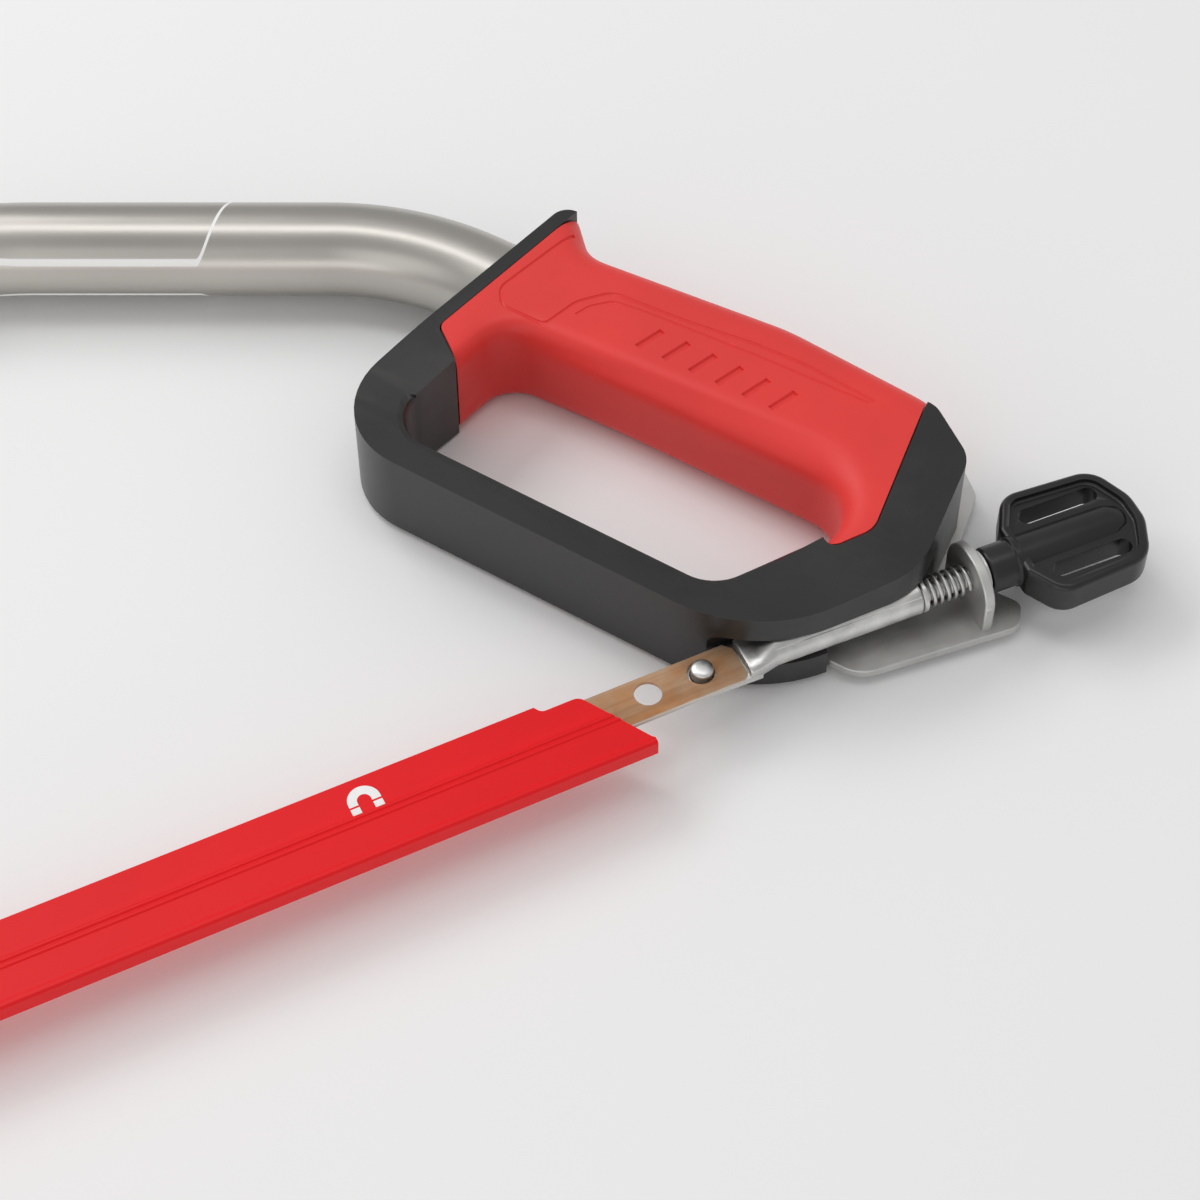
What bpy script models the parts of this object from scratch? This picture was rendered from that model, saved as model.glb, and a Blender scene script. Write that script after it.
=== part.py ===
"""Bow saw lying on its side: steel tube frame, D-handle, tensioned blade and blade guard.

Every length is in metres. X runs from the nose to the handle, Y from the blade up to the
frame tube, and Z is the thickness of the saw. The plan is drawn around the rear blade pin,
and the empty "saw" then moves everything so that the saw stands on Z = 0.
"""
import math

import bmesh
import bpy
from mathutils import Matrix, Vector

MM = 0.001
GAP = 0.3 * MM                       # clearance left between pieces that touch

# Frame tube
TUBE_DIAMETER = 25.4 * MM
TUBE_RADIUS = TUBE_DIAMETER / 2
TUBE_WALL = 1.5 * MM
RISE_ANGLE = math.radians(154.0)     # from the handle up to the top of the bow
RISE_LENGTH = 160.0 * MM
BACK_ANGLE = math.radians(195.0)     # long run from the top of the bow down to the nose
NOSE_ANGLE = math.radians(258.0)
NECK_RADIUS = 80.0 * MM
CROWN_RADIUS = 150.0 * MM
NOSE_RADIUS = 60.0 * MM
NOSE_SETBACK = 7.0 * MM              # centre of the flat nose behind the front pin
NOSE_BELOW_PIN = 11.0 * MM
NOSE_FLAT_GAP = 2.2 * MM             # slot left between the pressed walls
NOSE_SLOT_ABOVE = 6.0 * MM           # room over the blade's back in the slot
NOSE_MOUTH_FLARE = 4.5 * MM          # widening of the hook slot over 40 mm
NOSE_FLAT_LENGTH = 30.0 * MM
NOSE_TAPER_LENGTH = 42.0 * MM
TAIL_HALF_THICKNESS = TUBE_RADIUS - 2.5 * MM    # the tail is pressed oval inside the grip
TAIL_HALF_DEPTH = TUBE_RADIUS + (TUBE_RADIUS - TAIL_HALF_THICKNESS) * (math.pi / 2 - 1)
TAIL_TAPER_LENGTH = 24.0 * MM
TAIL_TAPER_END = 7.5 * MM            # the tube is round this far along the grip
TAIL_LENGTH = 92.0 * MM

# Handle
GRIP_ANGLE = math.radians(-58.0)
COLLAR_X = 7.4 * MM                  # where the tube axis enters the handle
COLLAR_Y = 140.4 * MM
COLLAR_TO_BEND = 25.0 * MM
COLLAR_FACE = 4.9 * MM               # front face of the handle on the grip's axis
COLLAR_SLANT = 0.16                  # lean of that face and of the opening's front wall
COLLAR_WIDTH = 5.5 * MM
COLLAR_REACH = 24.5 * MM             # top end of the collar from the grip's axis
COLLAR_HALF_THICKNESS = TUBE_RADIUS + 2.3 * MM
CORE_HALF_DEPTH = TAIL_HALF_DEPTH + 1.3 * MM    # black moulding round the tail
CORE_HALF_THICKNESS = TAIL_HALF_THICKNESS + 1.8 * MM
GRIP_HALF_DEPTH = CORE_HALF_DEPTH + 3.8 * MM
GRIP_HALF_THICKNESS = CORE_HALF_THICKNESS + 3.2 * MM
GRIP_ROUNDING = 10.5 * MM
BODY_HALF_THICKNESS = 13.0 * MM
BODY_ROUNDING = 2.4 * MM
KNUCKLE_DISTANCE = 74.2 * MM         # outer knuckle face from the grip axis
KNUCKLE_WIDTH = 10.0 * MM
OPENING_FRONT = 21.0 * MM            # front wall of the opening, on the grip's axis
THROAT_DEPTH = 22.2 * MM             # reach of the soft material down the front wall
LOWER_BAR_BOTTOM = -5.0 * MM
LOWER_BAR_TOP = 15.0 * MM
HANDLE_REAR = 88.0 * MM

# Blade and its pins
BLADE_LENGTH = 610.0 * MM
BLADE_THICKNESS = 1.0 * MM
BLADE_BACK = 5.2 * MM
BLADE_TAIL_EDGE = -7.1 * MM
BLADE_TOOTH_TIP = -13.2 * MM
BLADE_END_MARGIN = 10.0 * MM
BLADE_SPARE_HOLE = 14.8 * MM         # spare hole, measured from the pin hole
BLADE_HOLE_RADIUS = 3.5 * MM
TOOTH_PITCH = 6.0 * MM
TOOTH_DEPTH = 4.6 * MM
TEETH_START = 30.0 * MM              # first tooth, measured from the rear pin
NOSE_REACH = 18.0 * MM               # plain length more at the front, where the nose is
PIN_RADIUS = 2.85 * MM
PIN_RISE = 2.1 * MM                  # stud above the blade
RIVET_HEAD_RADIUS = 4.4 * MM
RIVET_HEAD_HEIGHT = 1.2 * MM

# Blade guard
GUARD_BACK = 7.5 * MM
GUARD_EDGE = -15.2 * MM
GUARD_THICKNESS = 5.5 * MM
GUARD_WALL = 1.9 * MM
GUARD_END = 19.6 * MM                # end of the guard's edge, measured from the rear pin
GUARD_BACK_END = 31.0 * MM           # where the slanted end meets the back
GUARD_LIP_END = 43.0 * MM
GUARD_LIP_HEIGHT = 2.3 * MM
GUARD_RIDGE = 0.35 * MM
MAGNET_RADIUS = 4.5 * MM
MAGNET_THICKNESS = 1.0 * MM
MAGNET_FROM_PIN = 88.8 * MM
MAGNET_Y = 0.4 * MM
MAGNET_COUNT = 3

# Blade tensioner, built along its own axis that starts at the rear blade pin
DRAW_TILT = math.radians(-2.3)
TONGUE_THICKNESS = 2.0 * MM
TONGUE_HALF_WIDTH = 5.8 * MM
TONGUE_FRONT = -7.4 * MM
BAR_RADIUS = 4.6 * MM
BAR_WALL = 1.0 * MM
BAR_ROUND_START = 19.0 * MM
BAR_END = 59.0 * MM
BAR_BORE_START = 26.0 * MM
BUSH_LENGTH = 12.0 * MM
BUSH_FLANGE = 1.4 * MM
SCREW_RADIUS = 2.5 * MM
SCREW_TIP = 30.0 * MM
SCREW_HEAD_END = 112.0 * MM
LUG_X = 73.2 * MM
LUG_THICKNESS = 2.8 * MM
LUG_HALF_WIDTH = 10.5 * MM
LUG_TOP = 8.0 * MM
LUG_HOLE_CLEARANCE = 0.6 * MM
WASHER_THICKNESS = 1.2 * MM
WASHER_RADIUS = 6.0 * MM
SPRING_RADIUS = 3.5 * MM
SPRING_WIRE = 0.55 * MM
SPRING_TURNS = 5.5
KNOB_BARREL_RADIUS = 5.8 * MM
KNOB_LENGTH = 44.0 * MM
WING_START = 8.0 * MM
WING_SHOULDER = 5.5 * MM             # length over which the wing widens
WING_HALF_WIDTH = 17.0 * MM
WING_HALF_THICKNESS = 5.0 * MM
WING_RECESS = 1.3 * MM
WING_RIM = 3.2 * MM
WING_SLOT_WIDTH = 4.6 * MM
GROOVE_CLEARANCE = 0.6 * MM
GROOVE_HEIGHT = 6.9 * MM             # roof of the groove above the tensioner's axis
FAR_WALL_EDGE = 4.0 * MM             # where the groove's far wall ends above that axis

# Steel bracket that carries the tensioner
BRACKET_THICKNESS = 2.5 * MM
BRACKET_DEPTH = 12.7 * MM            # outer face below the saw's middle plane
BRACKET_REAR = 95.5 * MM
BRACKET_LOBE_BOTTOM = -16.0 * MM
BRACKET_LOBE_REAR = 86.6 * MM        # clears the turning wing of the knob
SCREW_SHANK_RADIUS = 2.0 * MM
SCREW_PAN_RADIUS = 3.6 * MM
SCREW_PAN_HEIGHT = 1.7 * MM
SCREW_DEPTH = 6.4 * MM

# Derived
FRONT_PIN_X = -(BLADE_LENGTH - 2 * BLADE_END_MARGIN)
GUARD_FRONT_X = FRONT_PIN_X + NOSE_REACH
GRIP_ALONG = Vector((math.cos(GRIP_ANGLE), math.sin(GRIP_ANGLE)))
GRIP_OUT = Vector((-math.sin(GRIP_ANGLE), math.cos(GRIP_ANGLE)))
COLLAR = Vector((COLLAR_X, COLLAR_Y))
NOSE_HALF_THICKNESS = NOSE_FLAT_GAP / 2 + TUBE_WALL
NOSE_HALF_DEPTH = TUBE_RADIUS + (TUBE_RADIUS - NOSE_HALF_THICKNESS) * (math.pi / 2 - 1)
ROUND_STEPS = 24


# ---------------------------------------------------------------- scene and materials

def clear_scene():
    for item in list(bpy.data.objects):
        bpy.data.objects.remove(item, do_unlink=True)


def material(name, colour, roughness, metallic=0.0):
    """A Principled material with its colour, roughness and metallic value."""
    made = bpy.data.materials.get(name)
    if made is None:
        made = bpy.data.materials.new(name)
        made.use_nodes = True
        shader = made.node_tree.nodes["Principled BSDF"]
        shader.inputs["Base Color"].default_value = (*colour, 1.0)
        shader.inputs["Roughness"].default_value = roughness
        shader.inputs["Metallic"].default_value = metallic
    return made


def satin_steel():
    return material("satin_steel", (0.56, 0.54, 0.51), 0.34, 0.9)


def plated_steel():
    return material("plated_steel", (0.66, 0.66, 0.67), 0.28, 1.0)


def black_plastic():
    return material("black_plastic", (0.018, 0.018, 0.02), 0.36)


def red_rubber():
    return material("red_rubber", (0.80, 0.05, 0.045), 0.46)


def red_plastic():
    return material("red_plastic", (0.82, 0.03, 0.03), 0.28)


def blade_lacquer():
    return material("blade_lacquer", (0.33, 0.16, 0.06), 0.34, 0.6)


def magnet_ferrite():
    return material("magnet_ferrite", (0.07, 0.07, 0.075), 0.5, 0.5)


# ---------------------------------------------------------------- plan geometry

def in_grip(along, out):
    """A plan point given along the grip axis from the collar, and outwards from it."""
    return COLLAR + along * GRIP_ALONG + out * GRIP_OUT


def slanted(along, out):
    """A plan point on a line that leans like the handle's front face."""
    return in_grip(along + COLLAR_SLANT * out, out)


def crossing(start_a, along_a, start_b, along_b):
    """Where two lines in the plan meet."""
    determinant = along_a.x * along_b.y - along_a.y * along_b.x
    between = start_b - start_a
    reach = (between.x * along_b.y - between.y * along_b.x) / determinant
    return start_a + reach * along_a


def rounded(corners, steps=6):
    """Outline through (point, radius) corners, each rounded by a tangent arc."""
    outline = []
    for index, (corner, radius) in enumerate(corners):
        before = corners[index - 1][0] - corner
        after = corners[(index + 1) % len(corners)][0] - corner
        if radius == 0.0:
            outline.append(corner.copy())
            continue
        half = before.angle(after) / 2
        centre = corner + (before.normalized() + after.normalized()).normalized() * (
            radius / math.sin(half))
        first = corner + before.normalized() * (radius / math.tan(half)) - centre
        last = corner + after.normalized() * (radius / math.tan(half)) - centre
        sweep = math.atan2(first.x * last.y - first.y * last.x, first.dot(last))
        for step in range(steps + 1):
            turn = Matrix.Rotation(sweep * step / steps, 2)
            outline.append(centre + turn @ first)
    return outline


def grown(outline, distance):
    """The outline moved outwards by a distance, for an anticlockwise outline."""
    moved = []
    for index, point in enumerate(outline):
        before = (point - outline[index - 1]).normalized()
        after = (outline[(index + 1) % len(outline)] - point).normalized()
        normal_a = Vector((before.y, -before.x))
        normal_b = Vector((after.y, -after.x))
        bisector = (normal_a + normal_b).normalized()
        moved.append(point + bisector * (distance / max(bisector.dot(normal_a), 0.5)))
    return moved


def circle(centre, radius, steps=ROUND_STEPS):
    """Anticlockwise circle in the plan."""
    turns = [2 * math.pi * step / steps for step in range(steps)]
    return [centre + radius * Vector((math.cos(turn), math.sin(turn))) for turn in turns]


# ---------------------------------------------------------------- solids

def new_object(name, mesh_data, finish=None, parent=None):
    """Turns a bmesh into a named object with outward faces."""
    bmesh.ops.remove_doubles(mesh_data, verts=mesh_data.verts, dist=1e-6)
    bmesh.ops.recalc_face_normals(mesh_data, faces=mesh_data.faces)
    mesh = bpy.data.meshes.new(name)
    mesh_data.to_mesh(mesh)
    mesh_data.free()
    made = bpy.data.objects.new(name, mesh)
    bpy.context.scene.collection.objects.link(made)
    if finish is not None:
        mesh.materials.append(finish)
    made.parent = parent
    return made


def prism(outline, low, high, rounding=0.0, segments=3):
    """Bmesh of a plan outline raised from low to high, its rims rounded."""
    made = bmesh.new()
    base = made.faces.new([made.verts.new((point.x, point.y, low)) for point in outline])
    raised = bmesh.ops.extrude_face_region(made, geom=[base])
    lifted = [item for item in raised["geom"] if isinstance(item, bmesh.types.BMVert)]
    bmesh.ops.translate(made, verts=lifted, vec=(0, 0, high - low))
    bmesh.ops.recalc_face_normals(made, faces=made.faces)
    if rounding > 0.0:
        rims = [edge for edge in made.edges
                if abs(edge.verts[0].co.z - edge.verts[1].co.z) < 1e-7]
        bmesh.ops.bevel(made, geom=rims, offset=rounding, segments=segments, profile=0.5,
                        affect="EDGES", clamp_overlap=True, material=-1)
    return made


def skin(rings, closed=False):
    """Bmesh skinned over rings of points, capped at both ends unless it closes on itself."""
    made = bmesh.new()
    loops = [[made.verts.new(point) for point in ring] for ring in rings]
    pairs = list(zip(loops, loops[1:]))
    if closed:
        pairs.append((loops[-1], loops[0]))
    for first, second in pairs:
        count = len(first)
        for index in range(count):
            following = (index + 1) % count
            made.faces.new((first[index], first[following], second[following], second[index]))
    if not closed:
        made.faces.new(list(reversed(loops[0])))
        made.faces.new(loops[-1])
    return made


def turned(profile, steps=ROUND_STEPS):
    """Bmesh turned about the X axis from (x, radius) points; radius 0 makes a pole."""
    made = bmesh.new()
    rows = []
    for along, radius in profile:
        if radius == 0.0:
            rows.append([made.verts.new((along, 0, 0))])
            continue
        turns = [2 * math.pi * step / steps for step in range(steps)]
        rows.append([made.verts.new((along, radius * math.cos(turn), radius * math.sin(turn)))
                     for turn in turns])
    for first, second in zip(rows, rows[1:]):
        for index in range(steps):
            following = (index + 1) % steps
            corners = [first[index % len(first)], first[following % len(first)],
                       second[following % len(second)], second[index % len(second)]]
            made.faces.new(list(dict.fromkeys(corners)))
    return made


def upright(profile, centre, steps=ROUND_STEPS):
    """Bmesh turned about a vertical axis through a plan point, from (z, radius) points."""
    made = turned(profile, steps)
    bmesh.ops.rotate(made, verts=made.verts, cent=(0, 0, 0),
                     matrix=Matrix.Rotation(-math.pi / 2, 3, "Y"))
    bmesh.ops.translate(made, verts=made.verts, vec=(centre.x, centre.y, 0))
    return made


def combine(target, mesh_data, operation):
    """Joins, cuts or intersects an object with a bmesh tool drawn in the object's own axes."""
    tool = new_object("tool", mesh_data)
    modifier = target.modifiers.new(operation, "BOOLEAN")
    modifier.operation = operation
    modifier.object = tool
    modifier.solver = "EXACT"
    bpy.context.view_layer.update()
    tool.matrix_world = target.matrix_world
    evaluated = target.evaluated_get(bpy.context.evaluated_depsgraph_get())
    result = bpy.data.meshes.new_from_object(evaluated)
    target.modifiers.clear()
    old = target.data
    target.data = result
    result.name = old.name
    bpy.data.meshes.remove(old)
    bpy.data.objects.remove(tool, do_unlink=True)


def add(target, mesh_data):
    combine(target, mesh_data, "UNION")


def cut(target, mesh_data):
    combine(target, mesh_data, "DIFFERENCE")


def keep(target, mesh_data):
    combine(target, mesh_data, "INTERSECT")


def smooth(target, angle=35.0):
    """Smooth shading with sharp edges above an angle."""
    target.data.shade_smooth()
    target.data.set_sharp_from_angle(angle=math.radians(angle))


# ---------------------------------------------------------------- frame tube

def tube_corners():
    """Corners of the tube's centre line, from the tail in the grip to the nose."""
    tail = in_grip(TAIL_LENGTH, 0.0)
    neck = in_grip(-COLLAR_TO_BEND, 0.0)
    rise = Vector((math.cos(RISE_ANGLE), math.sin(RISE_ANGLE)))
    back = Vector((math.cos(BACK_ANGLE), math.sin(BACK_ANGLE)))
    down = Vector((math.cos(NOSE_ANGLE), math.sin(NOSE_ANGLE)))
    crown = neck + rise * RISE_LENGTH
    foot = Vector((FRONT_PIN_X + NOSE_SETBACK, 0.0))
    nose = crossing(crown, back, foot, down)
    tip = foot + down * (NOSE_BELOW_PIN / -down.y)
    return tail, neck, crown, nose, tip


def tube_path():
    """Points and directions along the tube's centre line, with its three bends."""
    tail, neck, crown, nose, tip = tube_corners()
    route = [(tail, 0.0), (neck, NECK_RADIUS), (crown, CROWN_RADIUS), (nose, NOSE_RADIUS),
             (tip, 0.0)]
    stations = [tail]
    for index in range(1, len(route) - 1):
        corner, radius = route[index]
        before = (route[index - 1][0] - corner).normalized()
        after = (route[index + 1][0] - corner).normalized()
        half = before.angle(after) / 2
        centre = corner + (before + after).normalized() * (radius / math.sin(half))
        first = corner + before * (radius / math.tan(half)) - centre
        sweep = math.pi - 2 * half
        side = math.copysign(1.0, before.y * after.x - before.x * after.y)
        steps = max(4, round(math.degrees(sweep) / 6.5))
        for step in range(steps + 1):
            turn = Matrix.Rotation(side * sweep * step / steps, 2)
            stations.append(centre + turn @ first)
    stations.append(tip)
    return with_extra_stations(stations)


def with_extra_stations(stations):
    """Adds the stations where the tail and the nose are pressed out of round."""
    placed = []
    for first, second in zip(stations, stations[1:]):
        run = (second - first).length
        wanted = [0.0]
        if first is stations[0]:
            wanted += [TAIL_LENGTH - TAIL_TAPER_LENGTH - TAIL_TAPER_END + TAIL_TAPER_LENGTH * share / 4
                       for share in range(5)]
        if second is stations[-1]:
            wanted += [run - NOSE_FLAT_LENGTH - NOSE_TAPER_LENGTH * (1 - share / 6)
                       for share in range(7)]
        placed += [first.lerp(second, reach / run) for reach in wanted]
    placed.append(stations[-1])
    return placed


def eased(share):
    """Smooth step from 0 to 1."""
    share = min(max(share, 0.0), 1.0)
    return share * share * (3 - 2 * share)


def tube_section(from_tail, from_tip):
    """Half depth and half thickness of the tube, by the distance from its two ends."""
    if from_tip < NOSE_FLAT_LENGTH + NOSE_TAPER_LENGTH:
        share = eased((from_tip - NOSE_FLAT_LENGTH) / NOSE_TAPER_LENGTH)
        return (NOSE_HALF_DEPTH + (TUBE_RADIUS - NOSE_HALF_DEPTH) * share,
                NOSE_HALF_THICKNESS + (TUBE_RADIUS - NOSE_HALF_THICKNESS) * share)
    start = TAIL_LENGTH - TAIL_TAPER_LENGTH - TAIL_TAPER_END
    share = eased((from_tail - start) / TAIL_TAPER_LENGTH)
    return (TAIL_HALF_DEPTH + (TUBE_RADIUS - TAIL_HALF_DEPTH) * share,
            TAIL_HALF_THICKNESS + (TUBE_RADIUS - TAIL_HALF_THICKNESS) * share)


def stadium_ring(centre, across, half_depth, half_thickness, steps=ROUND_STEPS):
    """Ring of two half circles joined by flats, across a direction in the plan."""
    straight = half_depth - half_thickness
    ring = []
    for side in (1, -1):
        for step in range(steps // 2):
            turn = math.pi * (step + 0.5) / (steps // 2) - math.pi / 2
            out = side * (straight + half_thickness * math.cos(turn))
            up = side * half_thickness * math.sin(turn)
            flat = centre + across * out
            ring.append((flat.x, flat.y, up))
    return ring


def tube_rings(growth, first_extra=0.0, last_extra=0.0):
    """Rings along the tube, its wall moved outwards by growth."""
    stations = tube_path()
    lengths = [0.0]
    for first, second in zip(stations, stations[1:]):
        lengths.append(lengths[-1] + (second - first).length)
    total = lengths[-1]
    rings = []
    for index, point in enumerate(stations):
        before = stations[max(index - 1, 0)]
        after = stations[min(index + 1, len(stations) - 1)]
        along = (after - before).normalized()
        place = point.copy()
        if index == 0:
            place -= along * first_extra
        if index == len(stations) - 1:
            place += along * last_extra
        half_depth, half_thickness = tube_section(lengths[index], total - lengths[index])
        across = Vector((-along.y, along.x))
        rings.append(stadium_ring(place, across, half_depth + growth, half_thickness + growth))
    return rings


def make_frame_tube(parent):
    outside = tube_rings(0.0)
    inside = tube_rings(-TUBE_WALL)
    tube = new_object("frame_tube", skin(outside + list(reversed(inside)), closed=True),
                      satin_steel(), parent)
    cut(tube, nose_blade_slot())
    cut(tube, nose_hook_slot())
    smooth(tube)


def nose_blade_slot():
    """Saw cut that parts the pressed nose into two leaves with the blade between them."""
    half = NOSE_FLAT_GAP / 2 - 0.1 * MM
    front = FRONT_PIN_X - 45 * MM
    rear = FRONT_PIN_X + 45 * MM
    top = BLADE_BACK + NOSE_SLOT_ABOVE
    outline = [Vector((front, -30 * MM)), Vector((rear, -30 * MM)), Vector((rear, top)),
               Vector((front, top))]
    return prism(outline, -half, half)


def nose_hook_slot():
    """Slot that the front pin hangs in, open towards the nose."""
    half = PIN_RADIUS + GAP
    mouth = half + NOSE_MOUTH_FLARE
    centre = Vector((FRONT_PIN_X, 0.0))
    outline = [Vector((centre.x - 40 * MM, mouth)), Vector((centre.x - 40 * MM, -mouth))]
    outline += [centre + Matrix.Rotation(math.pi * step / 12, 2) @ Vector((0.0, -half))
                for step in range(13)]
    return prism(outline, -10 * MM, 10 * MM)


# ---------------------------------------------------------------- handle

def body_outline():
    """Plan outline of the black moulding, with its front face in line with the collar."""
    front_tip = slanted(COLLAR_FACE + 0.5 * MM, COLLAR_REACH - 1.0 * MM)
    front = (slanted(COLLAR_FACE + 0.5 * MM, 0.0) - front_tip).normalized()
    knuckle = in_grip(0.0, -KNUCKLE_DISTANCE)
    front_corner = crossing(front_tip, front, knuckle, GRIP_ALONG)
    level = Vector((1.0, 0.0))
    lower_corner = crossing(knuckle, GRIP_ALONG, Vector((0.0, LOWER_BAR_BOTTOM)), level)
    heel = Vector((57.3 * MM, LOWER_BAR_BOTTOM))
    rear_low = Vector((HANDLE_REAR - 2.0 * MM, 20.5 * MM))
    rear_high = Vector((HANDLE_REAR - 2.0 * MM, 36.0 * MM))
    inner = Vector((70.0 * MM, 40.0 * MM))
    bar_inner = Vector((50.0 * MM, LOWER_BAR_TOP + 3.0 * MM))
    knuckle_inner = in_grip(0.0, -KNUCKLE_DISTANCE + KNUCKLE_WIDTH)
    bar_line = Vector((0.0, LOWER_BAR_TOP))
    open_low = crossing(knuckle_inner, GRIP_ALONG, bar_line, level)
    wall = OPENING_FRONT - 0.2 * MM
    open_front = crossing(knuckle_inner, GRIP_ALONG, slanted(wall, 0.0), front)
    open_end = slanted(wall, -GRIP_HALF_DEPTH + 6.0 * MM)
    return rounded([
        (front_tip, 2.0 * MM),
        (front_corner, 22.0 * MM),
        (lower_corner, 40.0 * MM),
        (heel, 22.0 * MM),
        (rear_low, 9.0 * MM),
        (rear_high, 5.0 * MM),
        (inner, 4.0 * MM),
        (bar_inner, 2.0 * MM),
        (Vector((46.0 * MM, LOWER_BAR_TOP)), 0.0),
        (open_low, 12.0 * MM),
        (open_front, 10.0 * MM),
        (open_end, 0.0),
        (slanted(COLLAR_FACE + COLLAR_WIDTH - 0.7 * MM, COLLAR_REACH - 1.0 * MM), 2.0 * MM),
    ])


def collar_outline():
    """Thick front strip of the handle that the tube enters."""
    return rounded([
        (slanted(COLLAR_FACE, COLLAR_REACH), 2.0 * MM),
        (slanted(COLLAR_FACE + 1.5 * MM, -22.0 * MM), 3.0 * MM),
        (slanted(COLLAR_FACE + COLLAR_WIDTH, -22.0 * MM), 1.0 * MM),
        (slanted(COLLAR_FACE + COLLAR_WIDTH, COLLAR_REACH), 2.0 * MM),
    ])


def grip_outline():
    """Plan outline of the soft grip together with the rounded rear end of the handle."""
    step = 0.2 * MM
    inner_line = in_grip(0.0, -GRIP_HALF_DEPTH)
    bar_line = Vector((0.0, LOWER_BAR_TOP - step))
    heel = crossing(inner_line, GRIP_ALONG, bar_line, Vector((1.0, 0.0)))
    start = COLLAR_FACE + 2.5 * MM
    return rounded([
        (slanted(start, COLLAR_REACH + 0.5 * MM), 0.0),
        (slanted(start, -THROAT_DEPTH), 0.0),
        (slanted(OPENING_FRONT, -THROAT_DEPTH), 0.0),
        (slanted(OPENING_FRONT, -GRIP_HALF_DEPTH), 2.4 * MM),
        (heel, 14.0 * MM),
        (Vector((39.0 * MM, LOWER_BAR_TOP - step)), 0.0),
        (Vector((41.0 * MM, 2.0 * MM)), 0.0),
        (Vector((60.0 * MM, 0.0)), 6.0 * MM),
        (Vector((HANDLE_REAR - 1.0 * MM, 21.0 * MM)), 10.0 * MM),
        (Vector((HANDLE_REAR, 40.0 * MM)), 8.0 * MM),
        (in_grip(122.0 * MM, GRIP_HALF_DEPTH - 1.2 * MM), 14.0 * MM),
        (in_grip(80.0 * MM, GRIP_HALF_DEPTH + 0.8 * MM), 60.0 * MM),
        (in_grip(23.5 * MM, GRIP_HALF_DEPTH - 4.2 * MM), 12.0 * MM),
        (in_grip(15.0 * MM, COLLAR_REACH + 1.1 * MM), 4.0 * MM),
    ])


def red_outline():
    """Plan region that the soft material covers."""
    reach = 14.0 * MM
    seam = COLLAR_FACE + COLLAR_WIDTH + GAP
    edge = -THROAT_DEPTH + 0.2 * MM
    return rounded([
        (slanted(seam, COLLAR_REACH + 15.0 * MM), 0.0),
        (slanted(seam, edge), 3.0 * MM),
        (slanted(OPENING_FRONT + reach, edge), 0.0),
        (Vector((41.0 * MM, LOWER_BAR_TOP + reach)), 0.0),
        (Vector((41.0 * MM, 11.0 * MM)), 3.0 * MM),
        (Vector((53.0 * MM, 11.0 * MM)), 8.0 * MM),
        (Vector((89.0 * MM, 45.0 * MM)), 0.0),
        (Vector((99.0 * MM, 62.0 * MM)), 0.0),
    ])


def core_rings(growth):
    """Oval core of the black moulding inside the soft grip."""
    rings = []
    for along in (COLLAR_FACE + COLLAR_WIDTH / 2, 118.0 * MM):
        ring = stadium_ring(in_grip(along, 0.0), GRIP_OUT, CORE_HALF_DEPTH + growth,
                            CORE_HALF_THICKNESS + growth)
        rings.append(ring)
    return rings


def draw_axis():
    """Turns plan geometry so that X follows the blade tensioner's axis."""
    return Matrix.Rotation(DRAW_TILT, 3, "Z")


def tensioner_groove():
    """Groove under the lower bar for the draw bar, open towards the blade."""
    half = BAR_RADIUS + GROOVE_CLEARANCE
    outline = [Vector((-30 * MM, -half)), Vector((140 * MM, -half)),
               Vector((140 * MM, half)), Vector((-30 * MM, half))]
    made = prism(outline, -40 * MM, 0.0)
    rim = [edge for edge in made.edges
           if all(vert.co.z > -1 * MM for vert in edge.verts)
           and abs(edge.verts[0].co.x - edge.verts[1].co.x) > 1 * MM]
    bmesh.ops.bevel(made, geom=rim, offset=3.2 * MM, segments=4, profile=0.5,
                    affect="EDGES", clamp_overlap=True, material=-1)
    bmesh.ops.rotate(made, verts=made.verts, cent=(0, 0, 0),
                     matrix=Matrix.Rotation(-math.pi / 2, 3, "X"))
    bmesh.ops.translate(made, verts=made.verts, vec=(0, GROOVE_HEIGHT, 0))
    bmesh.ops.rotate(made, verts=made.verts, cent=(0, 0, 0), matrix=draw_axis())
    return made


def far_side_cut():
    """Clears the far wall of the groove, where the steel plate takes its place."""
    outline = [Vector((33 * MM, -40 * MM)), Vector((140 * MM, -40 * MM)),
               Vector((140 * MM, FAR_WALL_EDGE)), Vector((33 * MM, FAR_WALL_EDGE))]
    made = prism(outline, -40 * MM, -BAR_RADIUS / 2)
    bmesh.ops.rotate(made, verts=made.verts, cent=(0, 0, 0), matrix=draw_axis())
    return made


def make_handle_body(parent):
    half = BODY_HALF_THICKNESS
    body = new_object("handle_body", prism(body_outline(), -half, half, BODY_ROUNDING),
                      black_plastic(), parent)
    half = GRIP_HALF_THICKNESS
    add(body, prism(grip_outline(), -half, half, GRIP_ROUNDING, 6))
    half = COLLAR_HALF_THICKNESS
    cut(body, prism(grown(red_outline(), GAP), -2 * half, 2 * half))
    add(body, prism(collar_outline(), -half, half, 2.2 * MM, 3))
    add(body, skin(core_rings(0.0)))
    cut(body, skin(tube_rings(GAP, first_extra=GAP)))
    cut(body, tensioner_groove())
    cut(body, far_side_cut())
    cut(body, prism(grown(bracket_outline(), GAP), -2 * half,
                    BRACKET_THICKNESS + GAP - BRACKET_DEPTH))
    for place in screw_places():
        cut(body, screw_solid(place, GAP))
    smooth(body)


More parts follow.
